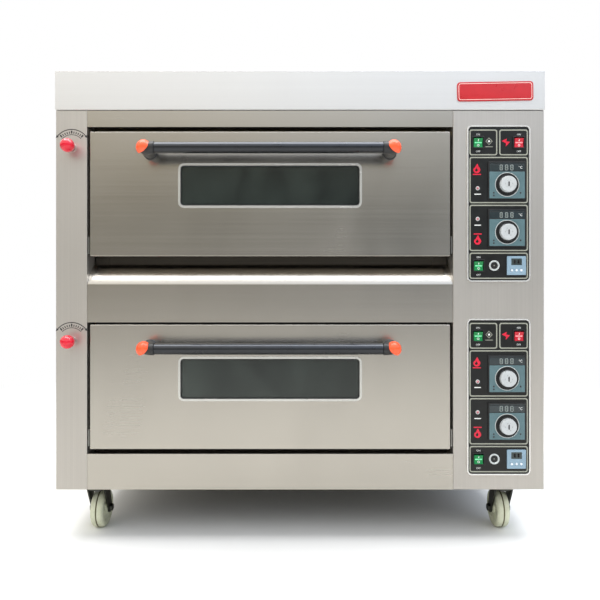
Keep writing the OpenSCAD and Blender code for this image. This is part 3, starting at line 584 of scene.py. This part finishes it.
def handle(deck):
    """A glossy bar between two black elbows, each with an orange cap over its outer corner."""
    body = deck + "_door"
    bar_low, bar_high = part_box(deck + "_handle_bar")
    ends_low, ends_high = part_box(deck + "_handle_ends")
    centre = (bar_low + bar_high) / 2
    half, _, radius = (bar_high - bar_low) / 2 / MM
    profile = [(0, -half), *arc((radius - 1.5, -half + 1.5), 1.5, -90, 0, 4)]
    profile += [*arc((radius - 1.5, half - 1.5), 1.5, 0, 90, 4), (0, half)]
    along_x = Matrix.Translation(centre) @ Matrix.Rotation(math.radians(90), 4, "Y")
    bar = lathe(deck + "_grip_bar", profile, along_x, "bar", body)
    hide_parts(deck + "_handle_bar")

    cap_r = bar_low.y + radius * MM - ends_low.y
    corner_x = (ends_high.x - ends_low.x) / 2 - cap_r
    both = bmesh.new()
    for side in (-1, 1):
        elbow = elbow_loft((radius + 1.5) * MM, corner_x - half * MM, ends_high.y - centre.y)
        turn = Matrix.Scale(-1, 4, Vector((1, 0, 0))) if side < 0 else Matrix.Identity(4)
        elbow.transform(Matrix.Translation(centre) @ turn @ Matrix.Translation((corner_x, 0, 0)))
        if side < 0:
            elbow.flip_normals()
        both.from_mesh(elbow)
    mesh = finished(both, deck + "_elbows")
    smooth(mesh, 35)
    piece = add(deck + "_handle_elbows", mesh, "elbow", body)
    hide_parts(deck + "_handle_ends")
    for side in (-1, 1):
        cap(deck, side, centre + Vector((side * corner_x, 0, 0)), cap_r)


def elbow_loft(radius, sleeve, leg):
    """A rounded elbow round the origin, in metres: a sleeve to -X, a bend and a leg to +Y."""
    shape = bmesh.new()
    rings = []

    def ring(section, wide):
        rings.append([shape.verts.new(section(u, v)) for u, v in circle_loop(wide, 48)])

    lip = 1.2 * MM
    ring(lambda u, v: (-sleeve, -u, v), radius - lip)
    ring(lambda u, v: (-sleeve + 0.4 * MM, -u, v), radius - 0.3 * MM)
    ring(lambda u, v: (-sleeve + lip, -u, v), radius)
    reach = radius + 6 * MM
    for step in range(9):
        turn = math.radians(90 * step / 8)
        x = reach * (math.sin(turn) - 1)
        y = reach * (1 - math.cos(turn))
        ring(lambda u, v, a=turn, x=x, y=y: (x + u * math.sin(a), y - u * math.cos(a), v), radius)
    for back, wide in ((6, 0), (5, 1.6), (4, 2.4), (0, 2.5)):
        ring(lambda u, v, y=leg - back * MM: (u, y, v), radius + wide * MM)
    skin(shape, rings)
    shape.faces.new(rings[0])
    shape.faces.new(rings[-1])
    return outward(shape, "elbow")


def cap(deck, side, corner, radius):
    """A domed cap that faces out and up on an elbow's corner, with a blunt point low on its outer side."""
    shape = bmesh.new()
    rows = 14
    turns = 56
    widest = math.acos(CAP_FLOOR / radius)
    rings = []
    for row in range(rows + 1):
        lean = widest * row / rows
        ring = []
        for i in range(turns):
            angle = math.tau * i / turns
            outer = max(0.0, side * math.cos(angle) * 0.5 - math.sin(angle) * 0.87)
            squeeze = 1 - 0.09 * math.sin(lean) ** 2 * (1 - outer ** 4)
            reach = radius * math.sin(lean) * squeeze
            spot = (reach * math.cos(angle), reach * math.sin(angle), radius * math.cos(lean))
            ring.append(shape.verts.new(spot))
        rings.append(ring)
    # The rim's back turns inwards
    for inset in (0.5, 3.2):
        share = 1 - inset * MM / radius
        rings.append([
            shape.verts.new((vertex.co.x * share, vertex.co.y * share, vertex.co.z - 0.5 * MM))
            for vertex in rings[rows]
        ])
    skin(shape, rings)
    shape.faces.new(rings[-1])
    bmesh.ops.remove_doubles(shape, verts=shape.verts, dist=1e-6)
    mesh = outward(shape, deck + "_cap")
    facing = Matrix.Rotation(CAP_TURN * side, 4, "Z") @ Matrix.Rotation(CAP_TIP, 4, "X") @ FACING_FRONT
    mesh.transform(Matrix.Translation(corner) @ facing)
    smooth(mesh, 45)
    add(f"{deck}_handle_cap_{'left' if side < 0 else 'right'}", mesh, "orange", f"{deck}_door")


for deck in DECKS:
    handle(deck)


# Dampers


def damper(deck):
    """The red ball on its collar, and the printed arc scale above it."""
    low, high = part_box(deck + "_damper_knob")
    radius = (high.x - low.x) / 2 / MM + 0.1
    centre = Vector(((low.x + high.x) / 2, low.y + radius * MM, (low.z + high.z) / 2))
    neck = (high.y - centre.y) / MM
    profile = [(0, radius), *arc((0, 0), radius, 90, -58, 28)[1:]]
    profile += [(9, 1 - radius), (9, 0.5 - neck), (8, -neck), (0, -neck)]
    piece = lathe(deck + "_ball_knob", profile, to_front(centre), "knob", deck + "_damper")
    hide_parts(deck + "_damper_knob")
    scale_arc(deck, Vector((centre.x, front_y - 0.05 * MM, centre.z)))


def scale_arc(deck, middle):
    """Two printed arcs with arrow heads, and marks between them."""
    name = deck + "_damper_scale"

    def mark(label, outline):
        plate(name + label, [outline], middle, 0.1, "ink")

    mark("_rim", band(45.6, 47.8, -50, 50))
    mark("_rule", band(32.5, 34, -46, 46))
    for direction in (-1, 1):
        turn = math.radians(50 * direction)
        out = Vector((math.sin(turn), math.cos(turn)))
        along = Vector((math.cos(turn), -math.sin(turn))) * direction
        base = out * 46.8
        mark(f"_head_{'left' if direction < 0 else 'right'}",
             [tuple(base + out * 3.6), tuple(base + along * 7.2), tuple(base - out * 3.6)])
    for index in range(11):
        angle = -42.5 + 8.5 * index
        outer, half = (43.5, 2.6) if index % 5 == 0 else (41.5, 1.7)
        mark(f"_mark_{index}", band(36, outer, angle - half, angle + half, 2))


for deck in DECKS:
    damper(deck)


# Control panels

# The outlined fields of a panel: left, right, top and bottom
FIELDS = {
    "power": (6, 77, 10, 76),
    "heat": (82, 155, 10, 76),
    "top": (6, 155, 80, 198),
    "bottom": (6, 155, 202, 320),
    "timer": (6, 155, 324, 391),
}

# The words of each switch: how far right they are, and how far down ON and OFF are
SWITCH_WORDS = {"power": (28, 23, 66), "heat": (132, 23, 66), "timer": (29, 336, 381)}


def control_print(deck):
    """Outlined fields, signs and switch words on the membrane, each in mm right of and below its corner."""
    name = deck + "_panel"

    def at(right, down):
        return nearer(panel_point(deck, right, down), 0.02)

    for label, (left, right, top, bottom) in FIELDS.items():
        width = right - left
        height = bottom - top
        loops = [box_loop(width, height, 6), box_loop(width - 6, height - 6, 4)]
        centre = at((left + right) / 2, (top + bottom) / 2)
        plate(f"{name}_field_{label}", loops, centre, 0.4, "outline", bevel=0.1)

    for label, (right, top, bottom) in SWITCH_WORDS.items():
        lettering(f"{name}_{label}_on", "ON", at(right, top), 4.6, "white")
        lettering(f"{name}_{label}_off", "OFF", at(right, bottom), 4.6, "white")

    # Diamond beside the first switch
    diamond, inside, core = ([(0, 9.5 * k), (9 * k, 0), (0, -9.5 * k), (-9 * k, 0)] for k in (1, 0.8, 0.36))
    plate(name + "_diamond", [diamond, inside], at(56, 40), 0.2, "outline")
    plate(name + "_diamond_core", [core], at(56, 40), 0.2, "white")
    plate(name + "_diamond_bar", [box_loop(19, 1.6)], at(56, 54), 0.2, "outline")

    # Spark sign beside the second switch
    spark = [(-10.5, 3.6), (2.5, 10), (1, 2.8), (10.5, 1.6), (-0.5, -10.5), (0.5, -2.6)]
    plate(name + "_spark", [spark], at(99, 43), 0.2, "sign")

    flame_sign(name + "_top_flame", at(25, 112), 1)
    flame_sign(name + "_bottom_flame", at(27, 294), -1)
    for label, down in (("top", 175), ("bottom", 254)):
        plate(f"{name}_{label}_caption", [box_loop(17, 2.4, 1)], at(27, down), 0.2, "white")


def between(a, b, c, d, share):
    """A value on the smooth curve from b to c, where a comes before them and d after."""
    square = a - 2.5 * b + 2 * c - d / 2
    cube = 1.5 * (b - c) + (d - a) / 2
    return b + (c - a) / 2 * share + square * share ** 2 + cube * share ** 3


def soft_loop(points, steps=5):
    """A closed smooth curve through points, as an outline."""
    loop = []
    count = len(points)
    for index in range(count):
        nearest = [points[(index + shift) % count] for shift in (-1, 0, 1, 2)]
        for step in range(steps):
            loop.append(tuple(between(*values, step / steps) for values in zip(*nearest)))
    return loop


# A flame's outline round its middle, one high
FLAME = ((0.1, 1.0), (0.35, 0.45), (0.62, 0.1), (0.7, -0.35), (0.4, -0.8), (0, -0.92), (-0.42, -0.8),
         (-0.72, -0.35), (-0.62, 0.1), (-0.38, 0.25), (-0.2, 0.6))


def flame_sign(name, place, direction):
    """A flame with a bar: under it for top heat, over it for bottom heat."""
    size = 12.5
    outline = soft_loop([(x * size, y * size) for x, y in FLAME])
    hole = soft_loop([((x * 0.4 - 0.1) * size, (y - 0.5) * size * 0.4) for x, y in FLAME])
    plate(name, [outline, hole], beside(place, 0, 2), 0.2, "sign")
    bar = beside(place, 0, -12.5 if direction > 0 else 17.5)
    plate(name + "_bar", [box_loop(21, 2.8, 1.2)], bar, 0.2, "sign")


# The seven bars of a figure: across and up from its middle in half heights, and whether it lies flat
SEGMENTS = (
    (0, 1, True), (-0.5, 0.5, False), (0.5, 0.5, False), (0, 0, True),
    (-0.5, -0.5, False), (0.5, -0.5, False), (0, -1, True),
)


def eight(height, x):
    """The outlines of a seven-segment figure with every segment lit."""
    loops = []
    half = height / 2
    thick = height * 0.13
    for across, up, flat in SEGMENTS:
        length = half * 0.84
        size = (length, thick) if flat else (thick, length)
        loops.append(box_loop(*size, 0, x + across * half * 0.98, up * half))
    return loops


def thermostat(deck, label):
    """A square controller with a display over a ringed dial."""
    name = f"{deck}_{label}_thermostat"
    case_w = 96
    face_w = 90
    face_rise = 0.5
    face_drop = 12
    dial_drop = 11
    window_rise = 0.45
    ring_r = 31
    dial_x, _, dial_z = joints[f"{deck}_{label}_dial_turn"]["pos_m"]
    case = Vector((dial_x, membrane_y - 0.1 * MM, dial_z + dial_drop * MM))
    depth = (case.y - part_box("thermostats")[0].y) / MM - 1
    outline = [box_loop(case_w, case_w, 2)]
    plate(name + "_case", outline, case, depth, "black", bevel=0.8)
    front = nearer(case, depth)
    face = [box_loop(face_w, 68, 1.5), circle_loop(ring_r - 1.4, 48, 0, face_drop - dial_drop)]
    plate(name + "_face", face, beside(front, 0, -face_drop), face_rise, "teal", bevel=0.15)
    window = beside(front, 0, 32.5)
    plate(name + "_window", [box_loop(face_w, 17, 1.2)], window, window_rise, "dark_face", bevel=0.15)
    plate(name + "_strip", [box_loop(face_w - 2, 2, 0.6)], beside(front, 0, 43.5), 0.4, "dark_face")
    digits = nearer(window, window_rise)
    for index in range(3):
        plate(f"{name}_digit_{index}", eight(12.5, -15 + index * 13.5), digits, 0.12, "segment")
    lettering(name + "_unit", "°C", beside(digits, 34, 0), 6.5, "white")
    dial_place = Vector((dial_x, front.y, dial_z))
    ring = [(ring_r - 1.8, 0), (ring_r, 0), *shoulder(ring_r, 1.6, 0.8)]
    ring += [(ring_r - 1.4, 1.4), (ring_r - 1.8, 0.6), (ring_r - 1.8, 0)]
    lathe(name + "_ring", ring, to_front(dial_place), "ring", "cabinet", 72)
    # Three dark spots in the face's lower corners
    for index, side, up in ((0, "left", -32), (0, "right", -32), (1, "left", -39)):
        spot = nearer(beside(front, -34 if side == "left" else 34, up), face_rise)
        plate(f"{name}_spot_{index}_{side}", [circle_loop(2.2, 20)], spot, 0.2, "ink")
    dial(deck, label, dial_place)


def dial(deck, label, place):
    """A silver disc with a printed scale inside a black skirt."""
    body = f"{deck}_{label}_dial"
    name = f"{deck}_{label}_knob"
    low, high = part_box(body)
    radius = (high.x - low.x) / 2 / MM
    base = nearer(place, 0.3)
    tall = (base.y - low.y) / MM
    skirt = [(0, 0), (radius - 0.4, 0), (radius, 0.5), *shoulder(radius, 4.7, 1.5)]
    skirt += [(radius - 3, 4.9), (0, 4.9)]
    piece = lathe(name + "_skirt", skirt, to_front(base), "black", body, 72)
    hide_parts(body)
    disc_r = radius - 2.6
    disc = [(0, 4.8), (disc_r - 0.3, 4.8), (disc_r, 5.2), *shoulder(disc_r - 0.8, tall - 0.6, 1.8)]
    disc += [(disc_r - 4, tall - 0.7), (0, tall - 0.9)]
    lathe(name + "_disc", disc, to_front(base), "silver", body, 72)
    printed = nearer(base, tall - 0.88)
    for index in range(26):
        angle = -150 + 12 * index
        inner, half = (disc_r - 7, 2.6) if index % 5 == 0 else (disc_r - 6, 1.6)
        mark = band(inner, disc_r - 4.2, angle - half, angle + half, 2)
        plate(f"{name}_mark_{index}", [mark], printed, 0.1, "ink", body)
    for index in range(6):
        angle = math.radians(-150 + 60 * index)
        reach = disc_r - 10
        spot = beside(printed, reach * math.sin(angle), reach * math.cos(angle))
        lettering(f"{name}_number_{index}", str(60 * index), spot, 3.2, "ink", body, 0.1)
    grip = [(-1.6, -6), (1.6, -6), (1.6, 4), (0, 7), (-1.6, 4)]
    plate(name + "_pointer", [grip], printed, 0.55, "ink", body, 0.2)


def rocker(deck, label, colour):
    """A lit rocker in a black frame, with an on bar and an off ring moulded in it, and a painted highlight strip
    across its middle.
    """
    body = f"{deck}_{label}_rocker"
    pivot = Vector(joints[body + "_tilt"]["pos_m"])
    # At rest its upper half stands out by half of its travel
    tilt = Matrix.Rotation(math.radians(7), 4, "X")
    half_w = 11.2
    half_h = 11.5
    face = -11.7
    dish = 2.6
    section = [(3.5, 5.5), (3.5, -5.5), (-8.6, -11.3)]
    section += [(face + dish * math.sin(math.pi * i / 12), half_h * (i / 6 - 1)) for i in range(13)]
    section += [(-8.6, 11.3)]
    shape = bmesh.new()
    sides = [[shape.verts.new((x * MM, y * MM, z * MM)) for y, z in section] for x in (-half_w, half_w)]
    shape.faces.new(sides[0])
    shape.faces.new(list(reversed(sides[1])))
    skin(shape, sides)
    bmesh.ops.recalc_face_normals(shape, faces=shape.faces)
    sharp = [edge for edge in shape.edges if edge.calc_face_angle(0) > math.radians(40)]
    rounded(shape, sharp, 0.7 * MM, 3)
    mesh = finished(shape, body)
    mesh.transform(Matrix.Translation(pivot) @ tilt)
    smooth(mesh, 35)
    piece = add(body + "_cap", mesh, colour, body)
    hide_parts(body)

    def mark(name, loops, up, material):
        flat = curve_mesh(name, loops, 0.25)
        angle = math.pi * (up + half_h + 0.1) / (2 * half_h + 0.2)
        out = face - 0.15 + dish * math.sin(angle)
        slope = math.atan(dish * math.pi / (2 * half_h) * math.cos(angle))
        local = Matrix.Translation((0, out * MM, up * MM)) @ Matrix.Rotation(-slope, 4, "X") @ FACING_FRONT
        flat.transform(Matrix.Translation(pivot) @ tilt @ local)
        add(name, flat, material, body)

    mark(body + "_on_bar", [box_loop(1.6, 5.5, 0.4)], 6.2, "white")
    mark(body + "_off_ring", [circle_loop(2.9, 24), circle_loop(1.9, 24)], -6.2, "white")
    # A lighter strip across the rocker's middle: a painted highlight
    mark(body + "_painted_highlight", [box_loop(18, 3.2, 1)], 0.4, colour + "_light")
    at_panel = Vector((pivot.x, membrane_y, pivot.z))
    loops = [box_loop(31, 32, 2), box_loop(25.4, 26.4, 1)]
    plate(body + "_frame", loops, at_panel, 2.8, "black", bevel=0.7)


def panel_fittings(deck):
    """Warning lamps and the buzzer."""
    for index, down in enumerate((160, 238)):
        place = to_front(panel_point(deck, 27, down))
        rim = [(3.4, 0), (5.2, 0), *shoulder(5.2, 1.3, 0.6, 4), (3.4, 1), (3.4, 0)]
        lathe(f"{deck}_lamp_{index}_rim", rim, place, "ring", "cabinet", 40)
        lens = [(3.4, 0), (3.4, 1), *arc((0, 0.8), 3.3, 10, 90, 8)]
        lathe(f"{deck}_lamp_{index}_lens", lens, place, "lens", "cabinet", 40)
    place = panel_point(deck, 69, 357)
    ring = [(9.2, 0), (13.4, 0), *shoulder(13.4, 2.8, 1.2), (10.2, 2.8), (9.2, 1.4), (9.2, 0)]
    lathe(deck + "_buzzer_ring", ring, to_front(place), "ring", "cabinet", 56)
    cup = [(0, 0.2), (2, 0.2), (2.4, 0.9), (9.2, 0.7)]
    lathe(deck + "_buzzer_cup", cup, to_front(place), "black", "cabinet", 56)
    plate(deck + "_buzzer_hole", [circle_loop(1.5, 24)], nearer(place, 0.3), 0.1, "outline")


def timer(deck):
    """A small square timer with a display over three buttons."""
    case = nearer(panel_point(deck, 125, 357), 0.05)
    depth = (case.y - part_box("timers_and_alarms")[0].y) / MM - 0.05
    case_w = 48
    pitch = 12
    drop = 12
    holes = [circle_loop(3.35, 24, i * pitch, -drop) for i in (-1, 0, 1)]
    outlines = [box_loop(case_w, case_w, 1.6), *holes]
    plate(deck + "_timer_face", outlines, case, depth, "timer", bevel=0.35)
    screen = beside(nearer(case, depth), 0, 9.5)
    plate(deck + "_timer_screen", [box_loop(27, 17, 0.8)], screen, 0.12, "lcd")
    for index in range(2):
        plate(f"{deck}_timer_digit_{index}", eight(9, index * 9.5 - 4.7), nearer(screen, 0.12), 0.08, "ink")
    for index in (1, 2, 3):
        body = f"{deck}_timer_button_{index}"
        low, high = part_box(body)
        centre = (low + high) / 2
        radius, tall, _ = (high - low) / MM
        radius /= 2
        profile = [(0, 0), (radius, 0), *shoulder(radius, tall, 0.8), (0, tall)]
        base = Vector((centre.x, high.y, centre.z))
        piece = lathe(body + "_cap", profile, to_front(base), "button", body, 40)
        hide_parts(body)


for deck in DECKS:
    control_print(deck)
    for label in ("top_heat", "bottom_heat"):
        thermostat(deck, label)
    rocker(deck, "ignition", "green")
    rocker(deck, "power", "red")
    rocker(deck, "timer", "green")
    panel_fittings(deck)
    timer(deck)

refined("thermostats", "black", behind=membrane_y)
refined("timers_and_alarms", "black", behind=membrane_y)


# Name plate, left blank


def name_plate():
    """A blank red plate with a pale border on the header."""
    low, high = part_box("name_plate")
    place = Vector(((low.x + high.x) / 2, high.y, (low.z + high.z) / 2))
    thick = 1.7
    outline = [box_loop(194, 49, 8)]
    # It hangs one degree out of level
    piece = plate("badge_plate", outline, place, thick, "plate", bevel=0.5, turn=1)
    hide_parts("name_plate")
    border = [box_loop(187, 42, 6), box_loop(184.5, 39.5, 5)]
    plate("badge_border", border, nearer(place, thick), 0.15, "plate_edge", turn=1)


name_plate()


# Castors


def castor(corner):
    """A cast wheel with a moulding seam, between the two legs of a pressed fork."""
    roller = corner + "_roller"
    refined(corner + "_fork", "zinc", 0.0, 0.6)
    low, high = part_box(corner + "_wheel")
    centre = (low + high) / 2
    hub, _, radius = (high - low) / 2 / MM
    tread = hub - 1.5
    along_x = Matrix.Translation(centre) @ Matrix.Rotation(math.radians(90), 4, "Y")
    half = [
        (6.1, hub), (14, hub), (15.5, hub - 1), (17, tread - 3.5), (31, tread - 3.5), (34, tread - 0.6),
        (35.5, tread), (radius - 9, tread), *arc((radius - 9, tread - 9), 9, 90, 12, 8),
        (radius, 5), (radius, 2), (radius - 0.9, 1.5),
    ]
    profile = half + [(r, -z) for r, z in reversed(half)]
    piece = lathe(corner + "_wheel_shown", profile, along_x, "nylon", roller, 72, 40)
    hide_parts(corner + "_wheel")
    # A dark band that fills the shallow groove between the tread's two halves
    seam = [(radius - 2, -1.7), (radius - 0.2, -1.6), (radius - 0.2, 1.6), (radius - 2, 1.7)]
    lathe(corner + "_wheel_seam", seam, along_x, "dark_seam", roller, 72)
    ribs = 6
    for side in (-1, 1):
        for index in range(ribs):
            turn = Matrix.Rotation(math.tau * index / ribs, 4, "X")
            outwards = Matrix.Translation((side * (tread - 3.3) * MM, 0, 0))
            spot = outwards @ turn @ Matrix.Translation((0, 24 * MM, 0))
            rib = bmesh.new()
            bmesh.ops.create_cube(rib, size=MM)
            bmesh.ops.scale(rib, vec=(2.4, 12.4, 2), verts=rib.verts)
            rounded(rib, list(rib.edges), 0.5 * MM, 3)
            mesh = finished(rib, "rib")
            smooth(mesh, 35)
            mesh.transform(Matrix.Translation(centre) @ spot)
            add(f"{corner}_rib_{'in' if side < 0 else 'out'}_{index}", mesh, "nylon", roller)


for corner in ("front_left", "front_right", "rear_left", "rear_right"):
    castor(corner)


# Screws that hold the outer panels


def screw(name, place, matrix):
    """A pan-head screw with a cross recess, lying flat on a panel."""
    upright = Matrix.Translation(place) @ matrix
    head = [(0, 1.5), (1.6, 1.45), *arc((2.4, 0), 1.4, 80, 0, 5), (3.8, -0.2)]
    lathe(name, head, upright, "trim", "cabinet", 24)
    for index, size in enumerate(((3.4, 0.7), (0.7, 3.4))):
        mesh = curve_mesh(f"{name}_slot_{index}", [box_loop(*size)], 0.2)
        mesh.transform(upright @ Matrix.Translation((0, 0, 1.45 * MM)))
        add(f"{name}_slot_{index}", mesh, "ink", "cabinet")


def spread(low, high, share):
    """A place between two limits, a screw's inset away from both."""
    inset = 10 * MM
    return low + inset + (high - low - 2 * inset) * share


def panel_screws():
    """Rows of screws along the edges of the side panels, the rear panel and the roof."""
    low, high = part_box("side_panels")
    for side, x, turn, nudge in (("left", low.x, -90, 1.3), ("right", high.x, 90, -1.3)):
        matrix = Matrix.Rotation(math.radians(turn), 4, "Y")
        for row in range(5):
            for column in range(2):
                y = spread(low.y, high.y, column)
                z = spread(low.z, high.z, row / 4)
                screw(f"{side}_screw_{row}_{column}", Vector((x + nudge * MM, y, z)), matrix)
    sheet_y = high.y
    low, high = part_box("rear_panel")
    matrix = Matrix.Rotation(math.radians(-90), 4, "X")
    for row in range(5):
        for column in range(4):
            if row in (0, 4) or column in (0, 3):
                place = Vector((spread(low.x, high.x, column / 3), sheet_y, spread(low.z, high.z, row / 4)))
                screw(f"rear_screw_{row}_{column}", place, matrix)
    low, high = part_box("roof_panel")
    for row in range(2):
        for column in range(5):
            place = Vector((spread(low.x, high.x, column / 4), spread(low.y, high.y, row), high.z))
            screw(f"roof_screw_{row}_{column}", place, Matrix.Identity(4))


panel_screws()


# Studio

WHITE = (1, 1, 1, 1)

# What steel reflects, from 30 degrees below eye level, at 0, to 30 degrees above it, at 1
SKY = (
    (0.0, (0.60, 0.58, 0.53)), (0.40, (0.58, 0.56, 0.51)), (0.44, (0.47, 0.45, 0.41)),
    (0.50, (0.33, 0.31, 0.285)), (0.54, (0.155, 0.16, 0.155)), (0.58, (0.16, 0.163, 0.158)),
    (0.64, (0.24, 0.23, 0.205)), (0.70, (0.38, 0.35, 0.29)), (0.765, (0.58, 0.53, 0.43)),
    (0.785, (0.56, 0.52, 0.43)), (0.80, (1.0, 1.0, 0.985)), (1.0, (1.15, 1.15, 1.15)),
)


def floor():
    """A pale floor that fades to white far out, and that steel reflects darker than it looks."""
    shape = bmesh.new()
    bmesh.ops.create_circle(shape, cap_ends=True, segments=96, radius=8.0)
    ground = placed("floor", finished(shape, "floor"))
    nodes = Nodes("floor_pale")
    nodes.value(Roughness=0.7)
    tree = nodes.tree
    ray = shader_node(tree, "LightPath", {}).outputs
    nodes.colour(nodes.blend(ray["Is Glossy Ray"], (0.9, 0.9, 0.89, 1), (0.47, 0.455, 0.42, 1)))
    distance = shader_node(tree, "VectorMath", {0: nodes.coordinates}, operation="LENGTH").outputs["Value"]
    far = nodes.span(distance, 0, 1, 1.0, 2.6)
    faded = shader_node(tree, "Math", {0: far, 1: ray["Is Camera Ray"]}, operation="MULTIPLY").outputs[0]
    white = shader_node(tree, "Emission", {"Color": WHITE}).outputs[0]
    mix = shader_node(tree, "MixShader", {0: faded, 1: nodes.shader.outputs[0], 2: white})
    tree.links.new(mix.outputs[0], tree.nodes["Material Output"].inputs["Surface"])
    ground.data.materials.append(nodes.material)


def sky():
    """Plain white for the camera, and for everything else a sky that is dim at eye level."""
    world = bpy.data.worlds.new("studio")
    bpy.context.scene.world = world
    world.use_nodes = True
    tree = world.node_tree
    tree.nodes.clear()
    around = shader_node(tree, "TexCoord", {}).outputs["Generated"]
    split = shader_node(tree, "SeparateXYZ", {0: around}).outputs
    height = shader_node(tree, "MapRange", {"Value": split["Z"], "From Min": -0.5, "From Max": 0.5})
    ramp = shader_node(tree, "ValToRGB", {"Fac": height.outputs["Result"]})
    elements = ramp.color_ramp.elements
    while len(elements) < len(SKY):
        elements.new(0.5)
    for element, (position, colour) in zip(elements, SKY):
        element.position = position
        element.color = (*colour, 1)
    # Warm light from the left, and cool light from the right
    across = shader_node(tree, "MapRange", {"Value": split["X"], "From Min": -0.35, "From Max": 0.35})
    sides = {0: across.outputs["Result"], 6: (1.03, 1.0, 0.93, 1), 7: (0.92, 1.0, 1.13, 1)}
    tint = shader_node(tree, "Mix", sides, data_type="RGBA").outputs[2]
    product = {0: 1.0, 6: ramp.outputs["Color"], 7: tint}
    tinted = shader_node(tree, "Mix", product, data_type="RGBA", blend_type="MULTIPLY").outputs[2]
    lit = shader_node(tree, "Background", {"Color": tinted}).outputs[0]
    seen = shader_node(tree, "Background", {"Color": WHITE}).outputs[0]
    ray = shader_node(tree, "LightPath", {}).outputs["Is Camera Ray"]
    mix = shader_node(tree, "MixShader", {0: ray, 1: lit, 2: seen})
    shader_node(tree, "OutputWorld", {"Surface": mix.outputs[0]})


def area_light(name, place, target, size, power, glossy=False):
    """A soft light, which shows in reflections only where glossy is true."""
    light = bpy.data.lights.new(name, "AREA")
    light.shape = "RECTANGLE"
    light.size, light.size_y = size
    light.energy = power
    holder = placed(name, light)
    holder.location = place
    holder.rotation_euler = (Vector(target) - Vector(place)).to_track_quat("-Z", "Y").to_euler()
    holder.visible_glossy = glossy


def camera():
    """Straight on to the front, a little above the middle of the doors."""
    distance = 1.464
    data = bpy.data.cameras.new("camera")
    data.lens = 34.4
    data.sensor_width = 36.0
    data.shift_y = -0.02667
    data.clip_start = 0.05
    holder = placed("camera", data)
    holder.location = (0, front_y - distance, 0.66)
    holder.rotation_euler = (math.radians(90), 0, 0)
    bpy.context.scene.camera = holder


middle = (0, 0, 0.6)
floor()
sky()
area_light("key", (-1.6, -3.2, 3.0), middle, (2.6, 2.0), 26)
area_light("fill", (2.6, -2.6, 2.0), middle, (2.0, 2.0), 12)
area_light("back", (0.5, 3.4, 2.6), middle, (2.6, 2.0), 40)
area_light("ceiling", (0, 0, 3.3), (0, 0, 0), (4.2, 3.0), 170, glossy=True)
camera()
bpy.context.scene.view_settings.view_transform = "Standard"
